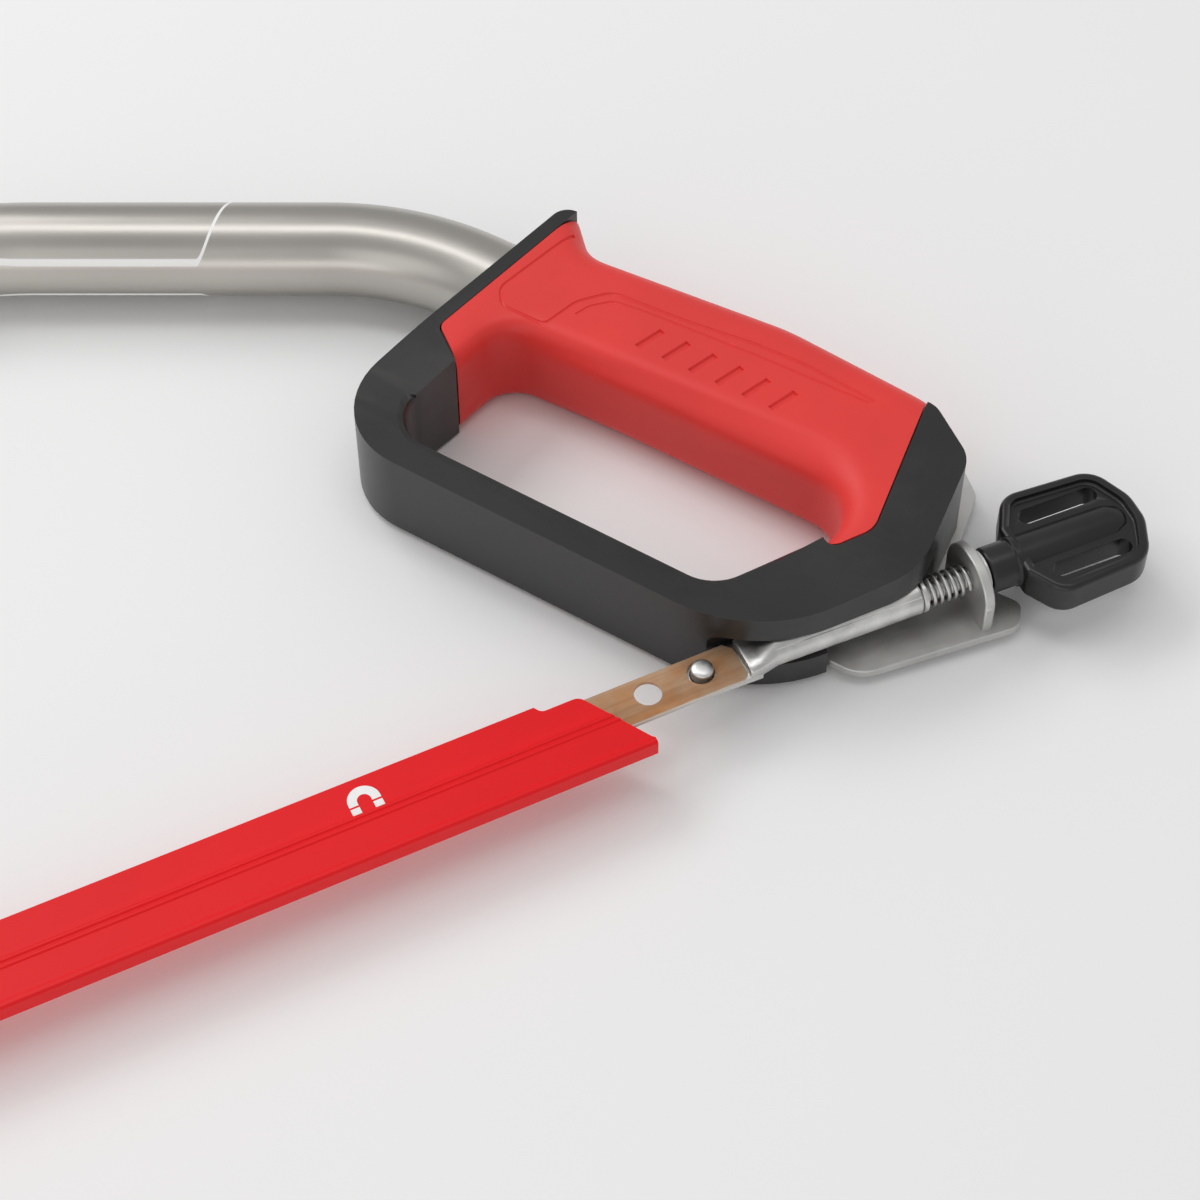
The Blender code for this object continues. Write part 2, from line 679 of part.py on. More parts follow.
def make_grip(parent):
    half = GRIP_HALF_THICKNESS
    grip = new_object("grip_overmould", prism(grip_outline(), -half, half, GRIP_ROUNDING, 6),
                      red_rubber(), parent)
    keep(grip, prism(red_outline(), -2 * half, 2 * half))
    cut(grip, skin(core_rings(GAP)))
    cut(grip, skin(tube_rings(GAP, first_extra=GAP)))
    smooth(grip)


# ---------------------------------------------------------------- bracket and its screws

def bracket_outline():
    """Steel plate let into the far side of the handle, with the lobe under the tensioner."""
    return rounded([
        (Vector((29.5 * MM, 12.2 * MM)), 3.0 * MM),
        (Vector((29.5 * MM, 3.0 * MM)), 3.0 * MM),
        (Vector((38.5 * MM, -11.5 * MM)), 10.0 * MM),
        (Vector((BRACKET_LOBE_REAR - 4.0 * MM, BRACKET_LOBE_BOTTOM)), 5.0 * MM),
        (Vector((BRACKET_LOBE_REAR, -9.5 * MM)), 3.0 * MM),
        (Vector((80.0 * MM, 0.0)), 6.0 * MM),
        (Vector((80.0 * MM, 12.0 * MM)), 6.0 * MM),
        (Vector((BRACKET_REAR - 1.5 * MM, 25.5 * MM)), 6.0 * MM),
        (Vector((BRACKET_REAR, 36.0 * MM)), 5.0 * MM),
        (Vector((90.0 * MM, 41.5 * MM)), 4.0 * MM),
        (Vector((55.5 * MM, 8.3 * MM)), 6.0 * MM),
        (Vector((42.5 * MM, 8.3 * MM)), 2.0 * MM),
        (Vector((39.5 * MM, 12.2 * MM)), 2.0 * MM),
    ])


def lug_outline():
    """Arched lug seen along the tensioner's axis: across in x, up in y."""
    base = -BRACKET_DEPTH + BRACKET_THICKNESS / 2
    return rounded([
        (Vector((-LUG_HALF_WIDTH, base)), 0.0),
        (Vector((LUG_HALF_WIDTH, base)), 0.0),
        (Vector((LUG_HALF_WIDTH, LUG_TOP)), LUG_HALF_WIDTH - 0.5 * MM),
        (Vector((-LUG_HALF_WIDTH, LUG_TOP)), LUG_HALF_WIDTH - 0.5 * MM),
    ], 8)


def make_end_bracket(parent):
    low = -BRACKET_DEPTH
    bracket = new_object("end_bracket",
                         prism(bracket_outline(), low, low + BRACKET_THICKNESS, 0.4 * MM, 1),
                         satin_steel(), parent)
    lug = prism(lug_outline(), 0.0, LUG_THICKNESS, 0.4 * MM, 1)
    bmesh.ops.transform(lug, verts=lug.verts,
                        matrix=Matrix(((0, 0, 1, 0), (1, 0, 0, 0), (0, 1, 0, 0), (0, 0, 0, 1))))
    bmesh.ops.translate(lug, verts=lug.verts, vec=(LUG_X, 0, 0))
    bmesh.ops.rotate(lug, verts=lug.verts, cent=(0, 0, 0), matrix=draw_axis())
    add(bracket, lug)
    radius = SCREW_RADIUS + LUG_HOLE_CLEARANCE
    hole = turned([(LUG_X - 5 * MM, 0.0), (LUG_X - 5 * MM, radius),
                   (LUG_X + 9 * MM, radius), (LUG_X + 9 * MM, 0.0)])
    bmesh.ops.rotate(hole, verts=hole.verts, cent=(0, 0, 0), matrix=draw_axis())
    cut(bracket, hole)
    for place in screw_places():
        cut(bracket, screw_solid(place, GAP))
    smooth(bracket)


def screw_places():
    """Three screws that hold the bracket in the handle."""
    return [Vector((34.6 * MM, 7.6 * MM)), Vector((65.0 * MM, 11.0 * MM)),
            Vector((83.0 * MM, 28.4 * MM))]


def screw_solid(place, growth):
    """Pan head screw driven upwards into the handle, moved outwards by growth."""
    face = -BRACKET_DEPTH - GAP
    low = face - SCREW_PAN_HEIGHT - growth * 20
    return upright([(low, 0.0), (low, SCREW_PAN_RADIUS + growth),
                    (face + growth / 2, SCREW_PAN_RADIUS + growth),
                    (face + growth / 2, SCREW_SHANK_RADIUS + growth),
                    (face + SCREW_DEPTH + growth, SCREW_SHANK_RADIUS + growth),
                    (face + SCREW_DEPTH + growth, 0.0)], place)


def make_bracket_screws(parent):
    for number, place in enumerate(screw_places(), 1):
        screw = new_object(f"bracket_screw_{number}", screw_solid(place, 0.0),
                           plated_steel(), parent)
        smooth(screw)


# ---------------------------------------------------------------- tensioner

def make_draw_bar(parent):
    """Flat tongue under the blade that becomes a round bar with a bore at the rear."""
    top = -BLADE_THICKNESS / 2 - GAP
    low = top - TONGUE_THICKNESS
    width = TONGUE_HALF_WIDTH
    outline = rounded([
        (Vector((TONGUE_FRONT, -width)), width - 0.8 * MM),
        (Vector((14 * MM, -width)), 0.0),
        (Vector((14 * MM, width)), 0.0),
        (Vector((TONGUE_FRONT, width)), width - 0.8 * MM),
    ])
    bar = new_object("draw_bar", prism(outline, low, top, 0.3 * MM, 1), plated_steel(), parent)
    start = BLADE_END_MARGIN + 2.5 * GAP
    stations = [(start, width - 0.3 * MM, -0.4 * MM, 2.2 * MM),
                (start + 3 * MM, width - 0.5 * MM, -0.2 * MM, 2.6 * MM),
                (BAR_ROUND_START, BAR_RADIUS, 0.0, BAR_RADIUS),
                (BAR_END, BAR_RADIUS, 0.0, BAR_RADIUS)]
    rings = []
    for along, half_width, middle, half_height in stations:
        ring = stadium_ring(Vector((along, 0.0)), Vector((0.0, 1.0)), half_width, half_height)
        rings.append([(x, y, z + middle) for x, y, z in ring])
    add(bar, skin(rings))
    bore = BAR_RADIUS - BAR_WALL
    cut(bar, turned([(BAR_BORE_START, 0.0), (BAR_BORE_START + 2 * MM, bore),
                     (BAR_END + 5 * MM, bore), (BAR_END + 5 * MM, 0.0)]))
    hole = PIN_RADIUS + GAP
    cut(bar, prism(circle(Vector((0.0, 0.0)), hole), -10 * MM, 10 * MM))
    smooth(bar)


def make_draw_bush(parent):
    """Threaded bush in the end of the draw bar, with a flange for the spring."""
    outer = BAR_RADIUS - BAR_WALL - GAP
    inner = SCREW_RADIUS + GAP
    start = BAR_END - BUSH_LENGTH
    face = BAR_END + GAP
    rear = face + BUSH_FLANGE
    profile = [(start, inner), (start, outer), (face, outer), (face, BAR_RADIUS),
               (rear, BAR_RADIUS), (rear, inner), (start, inner)]
    bush = new_object("draw_bush", turned(profile), plated_steel(), parent)
    smooth(bush)


def make_tension_screw(parent):
    """Screw that the knob turns, its end chamfered."""
    chamfer = 0.8 * MM
    profile = [(SCREW_TIP, 0.0), (SCREW_TIP, SCREW_RADIUS - chamfer),
               (SCREW_TIP + chamfer, SCREW_RADIUS), (SCREW_HEAD_END, SCREW_RADIUS),
               (SCREW_HEAD_END, 0.0)]
    smooth(new_object("tension_screw", turned(profile), plated_steel(), parent))


def make_thrust_washer(parent):
    start = LUG_X + LUG_THICKNESS + GAP
    end = start + WASHER_THICKNESS
    inner = SCREW_RADIUS + GAP
    profile = [(start, inner), (start, WASHER_RADIUS), (end, WASHER_RADIUS), (end, inner),
               (start, inner)]
    smooth(new_object("thrust_washer", turned(profile), plated_steel(), parent))


def make_tension_spring(parent):
    """Compression spring between the bush's flange and the lug."""
    start = BAR_END + GAP + BUSH_FLANGE + GAP + SPRING_WIRE
    end = LUG_X - GAP - SPRING_WIRE
    steps = round(SPRING_TURNS * 16)
    rings = []
    for step in range(steps + 1):
        share = step / steps
        turn = 2 * math.pi * SPRING_TURNS * share
        radial = Vector((0.0, math.cos(turn), math.sin(turn)))
        centre = Vector((start + (end - start) * share, 0.0, 0.0)) + radial * SPRING_RADIUS
        ring = []
        for side in range(6):
            angle = 2 * math.pi * side / 6
            ring.append(centre + SPRING_WIRE * (math.cos(angle) * radial
                                                + math.sin(angle) * Vector((1.0, 0.0, 0.0))))
        rings.append(ring)
    smooth(new_object("tension_spring", skin(rings), plated_steel(), parent), 60.0)


def wing_outline(inset=0.0):
    """Shield-shaped wing of the knob, from its neck to its end, drawn in by inset."""
    wide = WING_HALF_WIDTH
    corners = [
        Vector((WING_START, -7.5 * MM)),
        Vector((WING_START + WING_SHOULDER, -wide)),
        Vector((KNOB_LENGTH - 5.0 * MM, -wide + 1.5 * MM)),
        Vector((KNOB_LENGTH, -4.0 * MM)),
        Vector((KNOB_LENGTH, 4.0 * MM)),
        Vector((KNOB_LENGTH - 5.0 * MM, wide - 1.5 * MM)),
        Vector((WING_START + WING_SHOULDER, wide)),
        Vector((WING_START, 7.5 * MM)),
    ]
    radii = [2.0 * MM, 4.5 * MM, 5.0 * MM, 8.0 * MM, 8.0 * MM, 5.0 * MM, 4.5 * MM, 2.0 * MM]
    smallest = 1.0 * MM
    return rounded([(corner, max(radius - inset, smallest))
                    for corner, radius in zip(grown(corners, -inset), radii)], 5)


def wing_slot(side):
    """Long slot through one half of the wing."""
    middle = side * (KNOB_BARREL_RADIUS + WING_SLOT_WIDTH / 2 + 0.7 * MM)
    half = WING_SLOT_WIDTH / 2
    return rounded([
        (Vector((WING_START + WING_SHOULDER + 1.5 * MM, middle - half)), half * 0.9),
        (Vector((KNOB_LENGTH - 7.0 * MM, middle - half)), half * 0.9),
        (Vector((KNOB_LENGTH - 7.0 * MM, middle + half)), half * 0.9),
        (Vector((WING_START + WING_SHOULDER + 1.5 * MM, middle + half)), half * 0.9),
    ], 5)


def make_tension_knob(parent):
    """Wing knob with a round barrel, two slots and sunken faces, around the screw."""
    start = LUG_X + LUG_THICKNESS + WASHER_THICKNESS + 2 * GAP
    thick = WING_HALF_THICKNESS
    knob = new_object("tension_knob", prism(wing_outline(), -thick, thick, 1.4 * MM, 3),
                      black_plastic(), parent)
    face = wing_outline(WING_RIM)
    for low, high in ((thick - WING_RECESS, 2 * thick), (-2 * thick, WING_RECESS - thick)):
        cut(knob, prism(face, low, high))
    barrel = KNOB_BARREL_RADIUS
    end = KNOB_LENGTH - 3.5 * MM
    add(knob, turned([(0.0, 0.0), (0.0, barrel - 0.8 * MM), (0.8 * MM, barrel),
                      (end - 5.0 * MM, barrel), (end - 1.5 * MM, barrel - 1.2 * MM),
                      (end, 0.0)]))
    for side in (1, -1):
        cut(knob, prism(wing_slot(side), -2 * thick, 2 * thick))
    bore = SCREW_RADIUS + GAP
    depth = SCREW_HEAD_END + GAP - start
    cut(knob, turned([(-5 * MM, 0.0), (-5 * MM, bore), (depth, bore), (depth, 0.0)]))
    knob.location = (start, 0.0, 0.0)
    smooth(knob)


# ---------------------------------------------------------------- blade and pins

def tooth_line():
    """Zigzag of the cutting edge from the rear to the front, with a raker every fifth tooth."""
    run = -FRONT_PIN_X - 2 * TEETH_START - NOSE_REACH
    count = round(run / TOOTH_PITCH)
    pitch = run / count
    points = []
    for tooth in range(count):
        root = -TEETH_START - tooth * pitch
        raker = tooth % 5 == 4
        tip = BLADE_TOOTH_TIP + (0.8 * MM if raker else 0.0)
        points.append(Vector((root, BLADE_TOOTH_TIP + TOOTH_DEPTH)))
        points.append(Vector((root - pitch / 2, tip)))
    points.append(Vector((-TEETH_START - run, BLADE_TOOTH_TIP + TOOTH_DEPTH)))
    return points


def blade_outline():
    """Back, two plain tails and the toothed edge, anticlockwise."""
    rear = BLADE_END_MARGIN
    front = FRONT_PIN_X - BLADE_END_MARGIN
    tail = BLADE_TAIL_EDGE
    shoulder = TEETH_START - 3 * MM
    corner = 2.0 * MM
    outline = [Vector((front + corner, BLADE_BACK)), Vector((front, BLADE_BACK - corner)),
               Vector((front, tail + corner)), Vector((front + corner, tail)),
               Vector((FRONT_PIN_X + NOSE_REACH + shoulder, tail))]
    outline += list(reversed(tooth_line()))
    outline += [Vector((-shoulder, tail)), Vector((rear - corner, tail)),
                Vector((rear, tail + corner)), Vector((rear, BLADE_BACK - corner)),
                Vector((rear - corner, BLADE_BACK))]
    return outline


def make_blade(parent):
    half = BLADE_THICKNESS / 2
    blade = new_object("blade", prism(blade_outline(), -half, half), blade_lacquer(), parent)
    slack = BLADE_HOLE_RADIUS - PIN_RADIUS - GAP
    for centre in (-slack, -BLADE_SPARE_HOLE, FRONT_PIN_X + slack,
                   FRONT_PIN_X + BLADE_SPARE_HOLE):
        hole = circle(Vector((centre, 0.0)), BLADE_HOLE_RADIUS)
        cut(blade, prism(hole, -5 * MM, 5 * MM))


def make_rear_pin(parent):
    """Domed stud of the draw bar that holds the rear end of the blade."""
    under = -BLADE_THICKNESS / 2 - 2 * GAP - TONGUE_THICKNESS
    top = BLADE_THICKNESS / 2 + PIN_RISE
    dome = 0.9 * MM
    profile = [(under - RIVET_HEAD_HEIGHT, 0.0),
               (under - RIVET_HEAD_HEIGHT, RIVET_HEAD_RADIUS - 0.8 * MM),
               (under - 0.4 * MM, RIVET_HEAD_RADIUS), (under, RIVET_HEAD_RADIUS),
               (under, PIN_RADIUS), (top - dome, PIN_RADIUS)]
    for step in range(1, 4):
        turn = math.pi / 2 * step / 4
        profile.append((top - dome + dome * math.sin(turn), PIN_RADIUS * math.cos(turn)))
    profile.append((top, 0.0))
    smooth(new_object("rear_blade_pin", upright(profile, Vector((0.0, 0.0))),
                      plated_steel(), parent))


def make_front_pin(parent):
    """Double-headed pin in the blade's front hole, hooked in the slot of the nose."""
    wall = NOSE_HALF_THICKNESS + GAP
    head = RIVET_HEAD_RADIUS + 0.6 * MM
    top = wall + RIVET_HEAD_HEIGHT
    profile = [(-top, 0.0), (-top, head - 0.8 * MM), (-top + 0.8 * MM, head), (-wall, head),
               (-wall, PIN_RADIUS), (wall, PIN_RADIUS), (wall, head), (top - 0.8 * MM, head),
               (top, head - 0.8 * MM), (top, 0.0)]
    smooth(new_object("front_blade_pin", upright(profile, Vector((FRONT_PIN_X, 0.0))),
                      plated_steel(), parent))


# ---------------------------------------------------------------- guard

def guard_section():
    """Channel section of the guard, y across the blade and z through it, with its ridges."""
    half = GUARD_THICKNESS / 2
    inner = half - GUARD_WALL
    ridge = GUARD_RIDGE
    floor = BLADE_TOOTH_TIP - 2 * GAP
    lip = GUARD_BACK - GUARD_LIP_HEIGHT
    one_side = [(inner, floor), (inner, GUARD_BACK), (half, GUARD_BACK), (half, lip),
                (half - ridge, lip - ridge)]
    for middle in (-3.1 * MM, -4.8 * MM):
        one_side += [(half - ridge, middle + 0.75 * MM), (half, middle + 0.4 * MM),
                     (half, middle - 0.4 * MM), (half - ridge, middle - 0.75 * MM)]
    one_side += [(half - ridge, GUARD_EDGE + 2.0 * MM), (half, GUARD_EDGE + 1.6 * MM),
                 (half, GUARD_EDGE + 0.5 * MM), (half - 0.5 * MM, GUARD_EDGE)]
    near = [(across, height) for height, across in one_side]
    far = [(across, -height) for across, height in near]
    return near + list(reversed(far))


def make_blade_guard(parent):
    """Moulded channel over the teeth, with slanted ends and a shorter lip along the back."""
    rings = [[(along, y, z) for y, z in guard_section()]
             for along in (GUARD_FRONT_X + GUARD_END, -GUARD_END)]
    guard = new_object("blade_guard", skin(rings), red_plastic(), parent)
    cut(guard, guard_end_cut(0.0, -1))
    cut(guard, guard_end_cut(GUARD_FRONT_X, 1))
    for place in magnet_places():
        half = GUARD_THICKNESS / 2
        pocket = circle(place, MAGNET_RADIUS + GAP)
        cut(guard, prism(pocket, 0.0, half - GUARD_WALL + 2 * GAP / 3 + MAGNET_THICKNESS))


def guard_end_cut(start, side):
    """Wedge that slants one end of the guard and shortens its lip; side 1 faces forwards."""
    lip = GUARD_BACK - GUARD_LIP_HEIGHT
    corners = [(GUARD_END, GUARD_EDGE + 1.5 * MM), (GUARD_BACK_END, lip),
               (GUARD_LIP_END - 2.0 * MM, lip), (GUARD_LIP_END, GUARD_BACK + 1 * MM),
               (0.0, GUARD_BACK + 1 * MM), (0.0, GUARD_EDGE + 1.5 * MM)]
    outline = [Vector((start + side * along, y)) for along, y in corners]
    return prism(outline, -10 * MM, 10 * MM)


def magnet_places():
    """Magnets spread evenly between the two ends of the guard."""
    first = -MAGNET_FROM_PIN
    last = GUARD_FRONT_X + MAGNET_FROM_PIN
    return [Vector((first + (last - first) * share / (MAGNET_COUNT - 1), MAGNET_Y))
            for share in range(MAGNET_COUNT)]


def make_magnets(parent):
    low = GUARD_THICKNESS / 2 - GUARD_WALL + GAP / 3
    for number, place in enumerate(magnet_places(), 1):
        chamfer = 0.2 * MM
        high = low + MAGNET_THICKNESS - chamfer
        profile = [(low, 0.0), (low, MAGNET_RADIUS - chamfer), (low + chamfer, MAGNET_RADIUS),
                   (high - chamfer, MAGNET_RADIUS), (high, MAGNET_RADIUS - chamfer),
                   (high, 0.0)]
        magnet = new_object(f"guard_magnet_{number}", upright(profile, place),
                            magnet_ferrite(), parent)
        smooth(magnet)


# ---------------------------------------------------------------- assembly

def place_on_ground(saw):
    """Moves the saw so that the middle of its footprint is the origin and it stands on Z = 0."""
    bpy.context.view_layer.update()
    corners = [item.matrix_world @ Vector(corner) for item in bpy.data.objects
               if item.type == "MESH" for corner in item.bound_box]
    low = [min(corner[axis] for corner in corners) for axis in range(3)]
    high = [max(corner[axis] for corner in corners) for axis in range(3)]
    saw.location = (-(low[0] + high[0]) / 2, -(low[1] + high[1]) / 2, -low[2])
    bpy.context.view_layer.update()


def main():
    clear_scene()
    saw = bpy.data.objects.new("saw", None)
    bpy.context.scene.collection.objects.link(saw)
    draw_line = bpy.data.objects.new("draw_line", None)
    bpy.context.scene.collection.objects.link(draw_line)
    draw_line.parent = saw
    draw_line.rotation_euler = (0.0, 0.0, DRAW_TILT)
    make_frame_tube(saw)
    make_handle_body(saw)
    make_grip(saw)
    make_end_bracket(saw)
    make_bracket_screws(saw)
    make_draw_bar(draw_line)
    make_draw_bush(draw_line)
    make_tension_screw(draw_line)
    make_thrust_washer(draw_line)
    make_tension_spring(draw_line)
    make_tension_knob(draw_line)
    make_blade(saw)
    make_rear_pin(saw)
    make_front_pin(saw)
    make_blade_guard(saw)
    make_magnets(saw)
    place_on_ground(saw)


main()
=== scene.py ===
"""Bow saw: steel tube frame, D-handle with a soft grip, tensioned blade and blade guard.

The pieces are drawn in millimetres around the rear blade pin: X runs to the handle, Y up to
the tube and Z through the saw's thickness. Each finished piece is then scaled to metres and
moved to its place in the frame.
"""
import math

import bmesh
import bpy
from mathutils import Matrix, Vector
from mathutils.bvhtree import BVHTree


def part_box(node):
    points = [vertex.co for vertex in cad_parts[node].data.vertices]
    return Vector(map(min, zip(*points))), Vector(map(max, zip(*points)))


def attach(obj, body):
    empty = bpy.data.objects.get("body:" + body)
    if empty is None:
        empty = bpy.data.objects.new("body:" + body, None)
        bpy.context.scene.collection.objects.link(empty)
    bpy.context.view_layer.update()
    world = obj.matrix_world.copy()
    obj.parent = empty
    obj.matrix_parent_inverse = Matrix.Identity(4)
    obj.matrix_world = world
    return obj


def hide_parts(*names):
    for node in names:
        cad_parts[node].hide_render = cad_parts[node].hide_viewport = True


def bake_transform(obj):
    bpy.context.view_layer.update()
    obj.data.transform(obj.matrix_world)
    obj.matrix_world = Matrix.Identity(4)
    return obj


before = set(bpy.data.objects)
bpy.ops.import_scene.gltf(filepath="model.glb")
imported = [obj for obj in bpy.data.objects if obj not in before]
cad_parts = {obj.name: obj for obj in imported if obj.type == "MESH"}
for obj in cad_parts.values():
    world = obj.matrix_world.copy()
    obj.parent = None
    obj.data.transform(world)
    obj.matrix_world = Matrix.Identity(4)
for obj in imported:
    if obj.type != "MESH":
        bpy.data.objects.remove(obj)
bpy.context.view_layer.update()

bl_info = {
    "name": "Bow Saw",
    "version": (1, 0, 0),
    "blender": (4, 5, 0),
    "location": "View3D > Sidebar > Bow Saw",
    "description": "Builds a bow saw with a tensioned blade and its guard",
    "category": "Add Mesh",
}

MM = 0.001
PIN_LOW, PIN_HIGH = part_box("rear_blade_pin")
BLADE_LOW, BLADE_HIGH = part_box("blade")
ORIGIN = Vector(((PIN_LOW.x + PIN_HIGH.x) / 2, (PIN_LOW.y + PIN_HIGH.y) / 2,
                 (BLADE_LOW.z + BLADE_HIGH.z) / 2))
BLADE_TOTAL = BLADE_HIGH.x - BLADE_LOW.x

# Plan of the saw, in millimetres
COLLAR = Vector((7.4, 140.4))
GRIP_ANGLE = math.radians(-58.0)
GRIP_ALONG = Vector((math.cos(GRIP_ANGLE), math.sin(GRIP_ANGLE)))
GRIP_OUT = Vector((-GRIP_ALONG.y, GRIP_ALONG.x))
FRONT_PIN = Vector((-(BLADE_TOTAL / MM - 20.0), 0.0))
FRONT_SLANT = 0.16
DRAW_TILT = Matrix.Rotation(math.radians(-2.3), 3, "Z")
ROUND = 64
GAP = 0.3
PAST = 31
GRIP_DEPTH = 19.2
COLLAR_FACE = 5.4
SEAM = 9.8
OPENING_FRONT = 20.8
KNUCKLE = -74.2
KNUCKLE_INNER = -64.2
BAR_TOP = 15.0
BLADE_BACK = 5.2
BLADE_TAIL = -7.1
TOOTH_TIP = -13.2
HOLE_RADIUS = 3.5
HOLE_PLAY = 0.35
SPARE_HOLE = 14.8
PIN_RADIUS = 2.85
PIN_ROOM = 3.15
FLAT = 1e-4
TAIL_FLAT = 60.5
TAIL_TAPER = 24.0
NOSE_FLAT = 30.0
NOSE_TAPER = 42.0
EASE_START = -64.0
EASE_RUN = 36.0
EASE_STEPS = 10
AZIMUTH = math.radians(-26.0)
ELEVATION = math.radians(53.0)
LUG_START = 73.2
LUG_END = 76.0
BAR_END = 59.0
KNOB_START = 77.8


# Sizes and colours

def length(name, value):
    return bpy.props.FloatProperty(name=name, default=value * MM, unit="LENGTH",
                                   subtype="DISTANCE", min=0.0, precision=5)


def paint(name, value):
    return bpy.props.FloatVectorProperty(name=name, default=value, size=3, subtype="COLOR",
                                         min=0.0, max=1.0)


class TubeSizes(bpy.types.PropertyGroup):
    diameter: length("Outside diameter of the frame tube", 25.4)
    wall: length("Wall of the frame tube", 1.5)
    neck_bend: length("Radius of the bend above the handle", 80.0)
    crown_bend: length("Radius of the bend at the top of the bow", 150.0)
    nose_bend: length("Radius of the bend at the nose", 60.0)
    stripe: length("Width of the painted line", 1.0)
    colour: paint("Colour of the satin tube", (0.50, 0.478, 0.445))
    stripe_colour: paint("Colour of the painted line", (0.93, 0.93, 0.92))


class HandleSizes(bpy.types.PropertyGroup):
    body_half: length("Half the thickness by the grip", 15.0)
    knuckle_half: length("Half the thickness at the knuckle", 13.2)
    grip_half: length("Half the thickness of the grip", 15.15)
    rounding: length("Rounding of the outer rim", 4.9)
    chamfer: length("Chamfer along the opening", 3.4)
    under_round: length("Rounding on the fingers' side", 12.3)
    body_colour: paint("Colour of the black moulding", (0.0125, 0.012, 0.012))
    grip_colour: paint("Colour of the soft grip", (0.80, 0.032, 0.026))


class TensionerSizes(bpy.types.PropertyGroup):
    bar_radius: length("Radius of the draw bar", 4.6)
    screw_radius: length("Outside radius of the thread", 2.5)
    pitch: length("Pitch of the thread", 0.8)
    wire: length("Radius of the spring wire", 0.55)
    knob_half: length("Half the width of the knob's wing", 17.0)
    steel: paint("Colour of the plated steel", (0.70, 0.695, 0.68))
    plate: paint("Colour of the blasted plate", (0.56, 0.555, 0.54))


class BladeSizes(bpy.types.PropertyGroup):
    thickness: length("Thickness of the blade", 1.0)
    tooth_pitch: length("Distance between the teeth", 6.0)
    tooth_depth: length("Depth of the teeth", 4.6)
    lacquer: paint("Colour of the lacquered blade", (0.45, 0.175, 0.038))


class GuardSizes(bpy.types.PropertyGroup):
    thickness: length("Thickness of the guard", 5.5)
    wall: length("Wall of the guard", 1.9)
    ridge: length("Height of the ridges", 0.35)
    magnet: length("Radius of the magnets", 4.5)
    colour: paint("Colour of the guard", (0.80, 0.006, 0.010))
    sign_colour: paint("Colour of the magnet sign", (0.93, 0.92, 0.91))


class StageSizes(bpy.types.PropertyGroup):
    floor: length("Width of the floor", 6000.0)
    distance: length("From the camera to the rear pin's plane", 735.3)
    floor_colour: paint("Colour of the floor", (0.93, 0.93, 0.93))


def sizes(group):
    return getattr(bpy.context.scene, "saw_" + group)


# Plan geometry

def grip_point(along, out):
    """A plan point given along the grip's axis from the collar, and outwards from it."""
    return COLLAR + along * GRIP_ALONG + out * GRIP_OUT


def slanted(along, out):
    """A plan point on a line that leans like the handle's front face."""
    return grip_point(along + FRONT_SLANT * out, out)


def crossing(start_a, along_a, start_b, along_b):
    """Where two lines in the plan meet."""
    determinant = along_a.x * along_b.y - along_a.y * along_b.x
    between = start_b - start_a
    return start_a + along_a * ((between.x * along_b.y - between.y * along_b.x) / determinant)


def rounded(corners, steps=14):
    """Outline through (point, radius) corners, each rounded by a tangent arc."""
    outline = []
    for index, (corner, radius) in enumerate(corners):
        corner = Vector(corner)
        if radius == 0.0:
            outline.append(corner)
            continue
        before = (Vector(corners[index - 1][0]) - corner).normalized()
        after = (Vector(corners[(index + 1) % len(corners)][0]) - corner).normalized()
        half = before.angle(after) / 2
        centre = corner + (before + after).normalized() * (radius / math.sin(half))
        first = corner + before * (radius / math.tan(half)) - centre
        last = corner + after * (radius / math.tan(half)) - centre
        sweep = math.atan2(first.x * last.y - first.y * last.x, first.dot(last))
        for step in range(steps + 1):
            outline.append(centre + Matrix.Rotation(sweep * step / steps, 2) @ first)
    return outline


def grown(outline, distance):
    """The outline moved outwards by a distance, for an anticlockwise outline."""
    moved = []
    for index, point in enumerate(outline):
        before = (point - outline[index - 1]).normalized()
        after = (outline[(index + 1) % len(outline)] - point).normalized()
        normal_a = Vector((before.y, -before.x))
        normal_b = Vector((after.y, -after.x))
        bisector = (normal_a + normal_b).normalized()
        moved.append(point + bisector * (distance / max(bisector.dot(normal_a), 0.5)))
    return moved


def eased(share):
    share = min(max(share, 0.0), 1.0)
    return share * share * (3 - 2 * share)


# Solids

def picked(result, kind):
    return [item for item in result["geom"] if isinstance(item, kind)]


def bevel(made, edges, offset, segments):
    bmesh.ops.bevel(made, geom=edges, offset=offset, segments=segments, profile=0.5,
                    affect="EDGES", clamp_overlap=True, material=-1)


def slab(outline, low, high, rounding=0.0, segments=5):
    """Outline raised from low to high, its rims rounded."""
    made = bmesh.new()
    base = made.faces.new([made.verts.new((x, y, low)) for x, y in outline])
    raised = bmesh.ops.extrude_face_region(made, geom=[base])
    bmesh.ops.translate(made, verts=picked(raised, bmesh.types.BMVert),
                        vec=(0, 0, high - low))
    bmesh.ops.recalc_face_normals(made, faces=made.faces)
    if rounding:
        rims = [edge for edge in made.edges
                if abs(edge.verts[0].co.z - edge.verts[1].co.z) < FLAT]
        bevel(made, rims, rounding, segments)
    return made


def turned(profile, steps=ROUND):
    """Profile of (x, radius) points spun about the X axis."""
    made = bmesh.new()
    verts = [made.verts.new((x, radius, 0)) for x, radius in profile]
    edges = [made.edges.new(pair) for pair in zip(verts, verts[1:])]
    bmesh.ops.spin(made, geom=verts + edges, cent=(0, 0, 0), axis=(1, 0, 0),
                   angle=2 * math.pi, steps=steps, use_merge=True, use_duplicate=False)
    bmesh.ops.remove_doubles(made, verts=made.verts, dist=FLAT)
    bmesh.ops.recalc_face_normals(made, faces=made.faces)
    return made


def rod(start, end, radius):
    """Profile of a plain cylinder."""
    return [(start, 0), (start, radius), (end, radius), (end, 0)]


